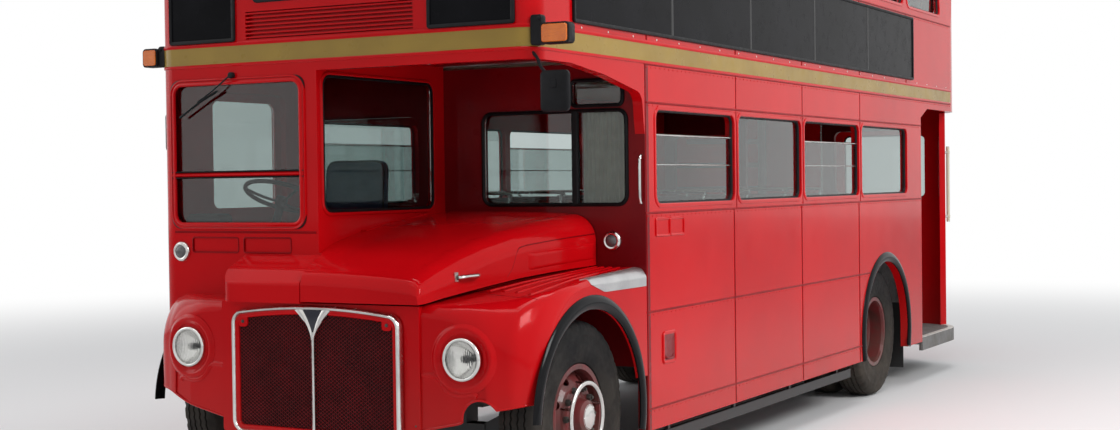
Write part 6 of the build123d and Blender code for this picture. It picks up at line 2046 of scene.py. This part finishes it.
    def _wheel(self) -> Shape:
        """Steering wheel: rim, hub and three dished spokes on a raked column."""
        centre = np.array([DRIVER_X, along(0.620), 1.685])
        axis, across, up = frame_of((0, 0.45, 1))
        rim = turned(circle(10)[:, ::-1] * 0.0125 + (0, 0.215), centre, axis, 64, closed=True)
        hub = turned([(-0.060, 0.026), (-0.050, 0.032), (-0.022, 0.036), (-0.006, 0.030), (-0.001, 0.012)],
                     centre, axis, 24)
        spokes = []
        for turn in np.radians((90, 210, 330)):
            out = across * math.cos(turn) + up * math.sin(turn)
            spokes.append(tube([centre + out * 0.026 - axis * 0.034, centre + out * 0.110 - axis * 0.024,
                                centre + out * 0.210], 0.008, 8, 5))
        column = tube([centre - axis * 0.055, (DRIVER_X, along(0.395), 1.125)], 0.023, 16, 2)
        return joined([rim, hub, column, *spokes])

    def _pod(self) -> Shape:
        """Instrument pod with a rounded hood on its stalk, and two round dials set in its face."""
        loop, _ = rounded_loop((-1.128, -0.862, 1.427, 1.593), 0.035, 6)
        body = plate(loop, ((0.98, 0.424), (1.0, 0.412), (1.0, 0.345), (0.90, 0.326)))
        stalk = tube([(-0.990, along(0.375), 1.130), (-0.990, along(0.375), 1.440)], 0.019, 12, 2)
        dials = [turned([(0.0, 0.046), (0.005, 0.046), (0.006, 0.041), (0.003, 0.038), (0.003, 0.004)],
                        (x, along(0.424), 1.510), (0, 1, 0), 28) for x in (-1.055, -0.935)]
        return joined([body, stalk, *dials])

    def _grab_pole(self) -> Shape:
        """Sleeve of the grab pole outside the rear post of the platform, with a collar near each end."""
        x, line = 1.0837, along(8.287)
        sleeve = tube([(x, line, 1.335), (x, line, 2.025)], 0.0158, 14, 3)
        collars = [turned([(-0.014, 0.0165), (-0.012, 0.019), (0.012, 0.019), (0.014, 0.0165)],
                          (x, line, height), (0, 0, 1), 20) for height in (1.380, 1.975)]
        return joined([sleeve, *collars])


# Studio


@dataclass(frozen=True)
class Studio:
    """Pale floor, soft lamps, white background and the camera of the photograph."""

    place: tuple[float, float, float] = (5.1445, -10.9353, 1.748)
    yaw: float = 28.567
    pitch: float = -1.175
    roll: float = -0.730
    lens: float = 52.188

    def build(self) -> None:
        """Make the stage."""
        self._floor()
        self._world()
        self._lamps()
        self._camera()
        bpy.context.scene.view_settings.view_transform = "Standard"

    def _floor(self) -> None:
        """Plain pale floor."""
        mesh = bpy.data.meshes.new("studio_floor")
        mesh.from_pydata([(-60, -60, 0), (60, -60, 0), (60, 60, 0), (-60, 60, 0)], [], [(0, 1, 2, 3)])
        material = bpy.data.materials.new("studio_floor")
        material.use_nodes = True
        shader = material.node_tree.nodes["Principled BSDF"]
        shader.inputs["Base Color"].default_value = (0.80, 0.80, 0.80, 1)
        shader.inputs["Roughness"].default_value = 0.9
        shader.inputs["Specular IOR Level"].default_value = 0.1
        self._fade(material.node_tree, shader)
        mesh.materials.append(material)
        floor = bpy.data.objects.new("studio_floor", mesh)
        bpy.context.scene.collection.objects.link(floor)

    @staticmethod
    def _fade(tree: Tree, shader: bpy.types.Node) -> None:
        """Let the floor run out into the white background with the distance from its middle."""
        nodes, links = tree.nodes, tree.links
        place = nodes.new("ShaderNodeTexCoord").outputs["Object"]
        away = nodes.new("ShaderNodeVectorMath")
        away.operation = "LENGTH"
        links.new(place, away.inputs[0])
        share = map_range(tree, away.outputs["Value"], 5.5, 17.0, 0.0, 1.0, "SMOOTHSTEP")
        seen = Studio._ray_share(tree, "Is Camera Ray", "Is Transmission Ray")
        white = nodes.new("ShaderNodeEmission")
        white.inputs["Strength"].default_value = 1.0
        mix = nodes.new("ShaderNodeMixShader")
        links.new(math_node(tree, "MULTIPLY", share, seen), mix.inputs[0])
        links.new(shader.outputs["BSDF"], mix.inputs[1])
        links.new(white.outputs["Emission"], mix.inputs[2])
        links.new(mix.outputs[0], nodes["Material Output"].inputs["Surface"])

    @staticmethod
    def _ray_share(tree: Tree, *kinds: str) -> Socket:
        """1 for a ray of any of the kinds and 0 for the rest."""
        rays = tree.nodes.new("ShaderNodeLightPath").outputs
        seen = rays[kinds[0]]
        for kind in kinds[1:]:
            seen = math_node(tree, "MAXIMUM", seen, rays[kind])
        return seen

    def _world(self) -> None:
        """Soft grey light all round, and white where the background itself is seen."""
        world = bpy.data.worlds.new("studio")
        bpy.context.scene.world = world
        world.use_nodes = True
        tree = world.node_tree
        nodes, links = tree.nodes, tree.links
        nodes.clear()
        light = nodes.new("ShaderNodeBackground")
        light.inputs["Color"].default_value = (0.95, 0.97, 1.0, 1)
        light.inputs["Strength"].default_value = 0.48
        white = nodes.new("ShaderNodeBackground")
        white.inputs["Color"].default_value = (1, 1, 1, 1)
        white.inputs["Strength"].default_value = 1.0
        seen = self._ray_share(tree, "Is Camera Ray", "Is Transmission Ray", "Is Glossy Ray")
        mix = nodes.new("ShaderNodeMixShader")
        links.new(seen, mix.inputs[0])
        links.new(light.outputs[0], mix.inputs[1])
        links.new(white.outputs[0], mix.inputs[2])
        output = nodes.new("ShaderNodeOutputWorld")
        links.new(mix.outputs[0], output.inputs["Surface"])

    @staticmethod
    def _aimed(name: str, data: bpy.types.ID, axes: Sequence[np.ndarray],
               place: Sequence[float]) -> bpy.types.Object:
        """New object of the scene at a place, with the given X, Y and Z axes."""
        made = bpy.data.objects.new(name, data)
        made.matrix_world = Matrix(np.column_stack(axes).tolist()).to_4x4()
        made.location = place
        bpy.context.scene.collection.objects.link(made)
        return made

    def _lamps(self) -> None:
        """Three broad soft lamps: key from the nearside front, fill from the offside, and top."""
        lamps = (
            ("key_lamp", (12.0, -3.5, 9.5), 1050.0, 5.0),
            ("fill_lamp", (-10.0, -7.0, 6.0), 190.0, 7.0),
            ("top_lamp", (0.5, -1.0, 11.0), 640.0, 8.0),
        )
        for name, place, power, size in lamps:
            data = bpy.data.lights.new(name, "AREA")
            data.energy = power
            data.size = size
            towards = np.array((0.0, 0.0, 1.6)) - np.array(place)
            back, second, third = frame_of(-towards)
            self._aimed(name, data, (second, third, back), place)

    def _camera(self) -> None:
        """Camera at the photograph's viewing angle."""
        yaw, pitch, roll = map(math.radians, (self.yaw, self.pitch, self.roll))
        ahead = np.array([-math.sin(yaw) * math.cos(pitch), math.cos(yaw) * math.cos(pitch),
                          math.sin(pitch)])
        level = np.array([math.cos(yaw), math.sin(yaw), 0.0])
        up = np.cross(level, ahead)
        right = level * math.cos(roll) + up * math.sin(roll)
        top = -level * math.sin(roll) + up * math.cos(roll)
        data = bpy.data.cameras.new("photo_camera")
        data.lens = self.lens
        data.sensor_width = 36.0
        data.clip_end = 200.0
        bpy.context.scene.camera = self._aimed("photo_camera", data, (right, top, -ahead), self.place)


def main() -> None:
    """Dress the frame, build each sub-assembly and the studio."""
    logging.basicConfig(level=logging.INFO, format="%(message)s")
    dress_nodes(frame["nodes"])
    for assembly in (RoadWheels(), Nose(), Windows(), Coachwork(), UpperFront(), Interior()):
        log.info("building %s", type(assembly).__name__)
        assembly.build()
    Studio().build()


if __name__ == "__main__":
    main()
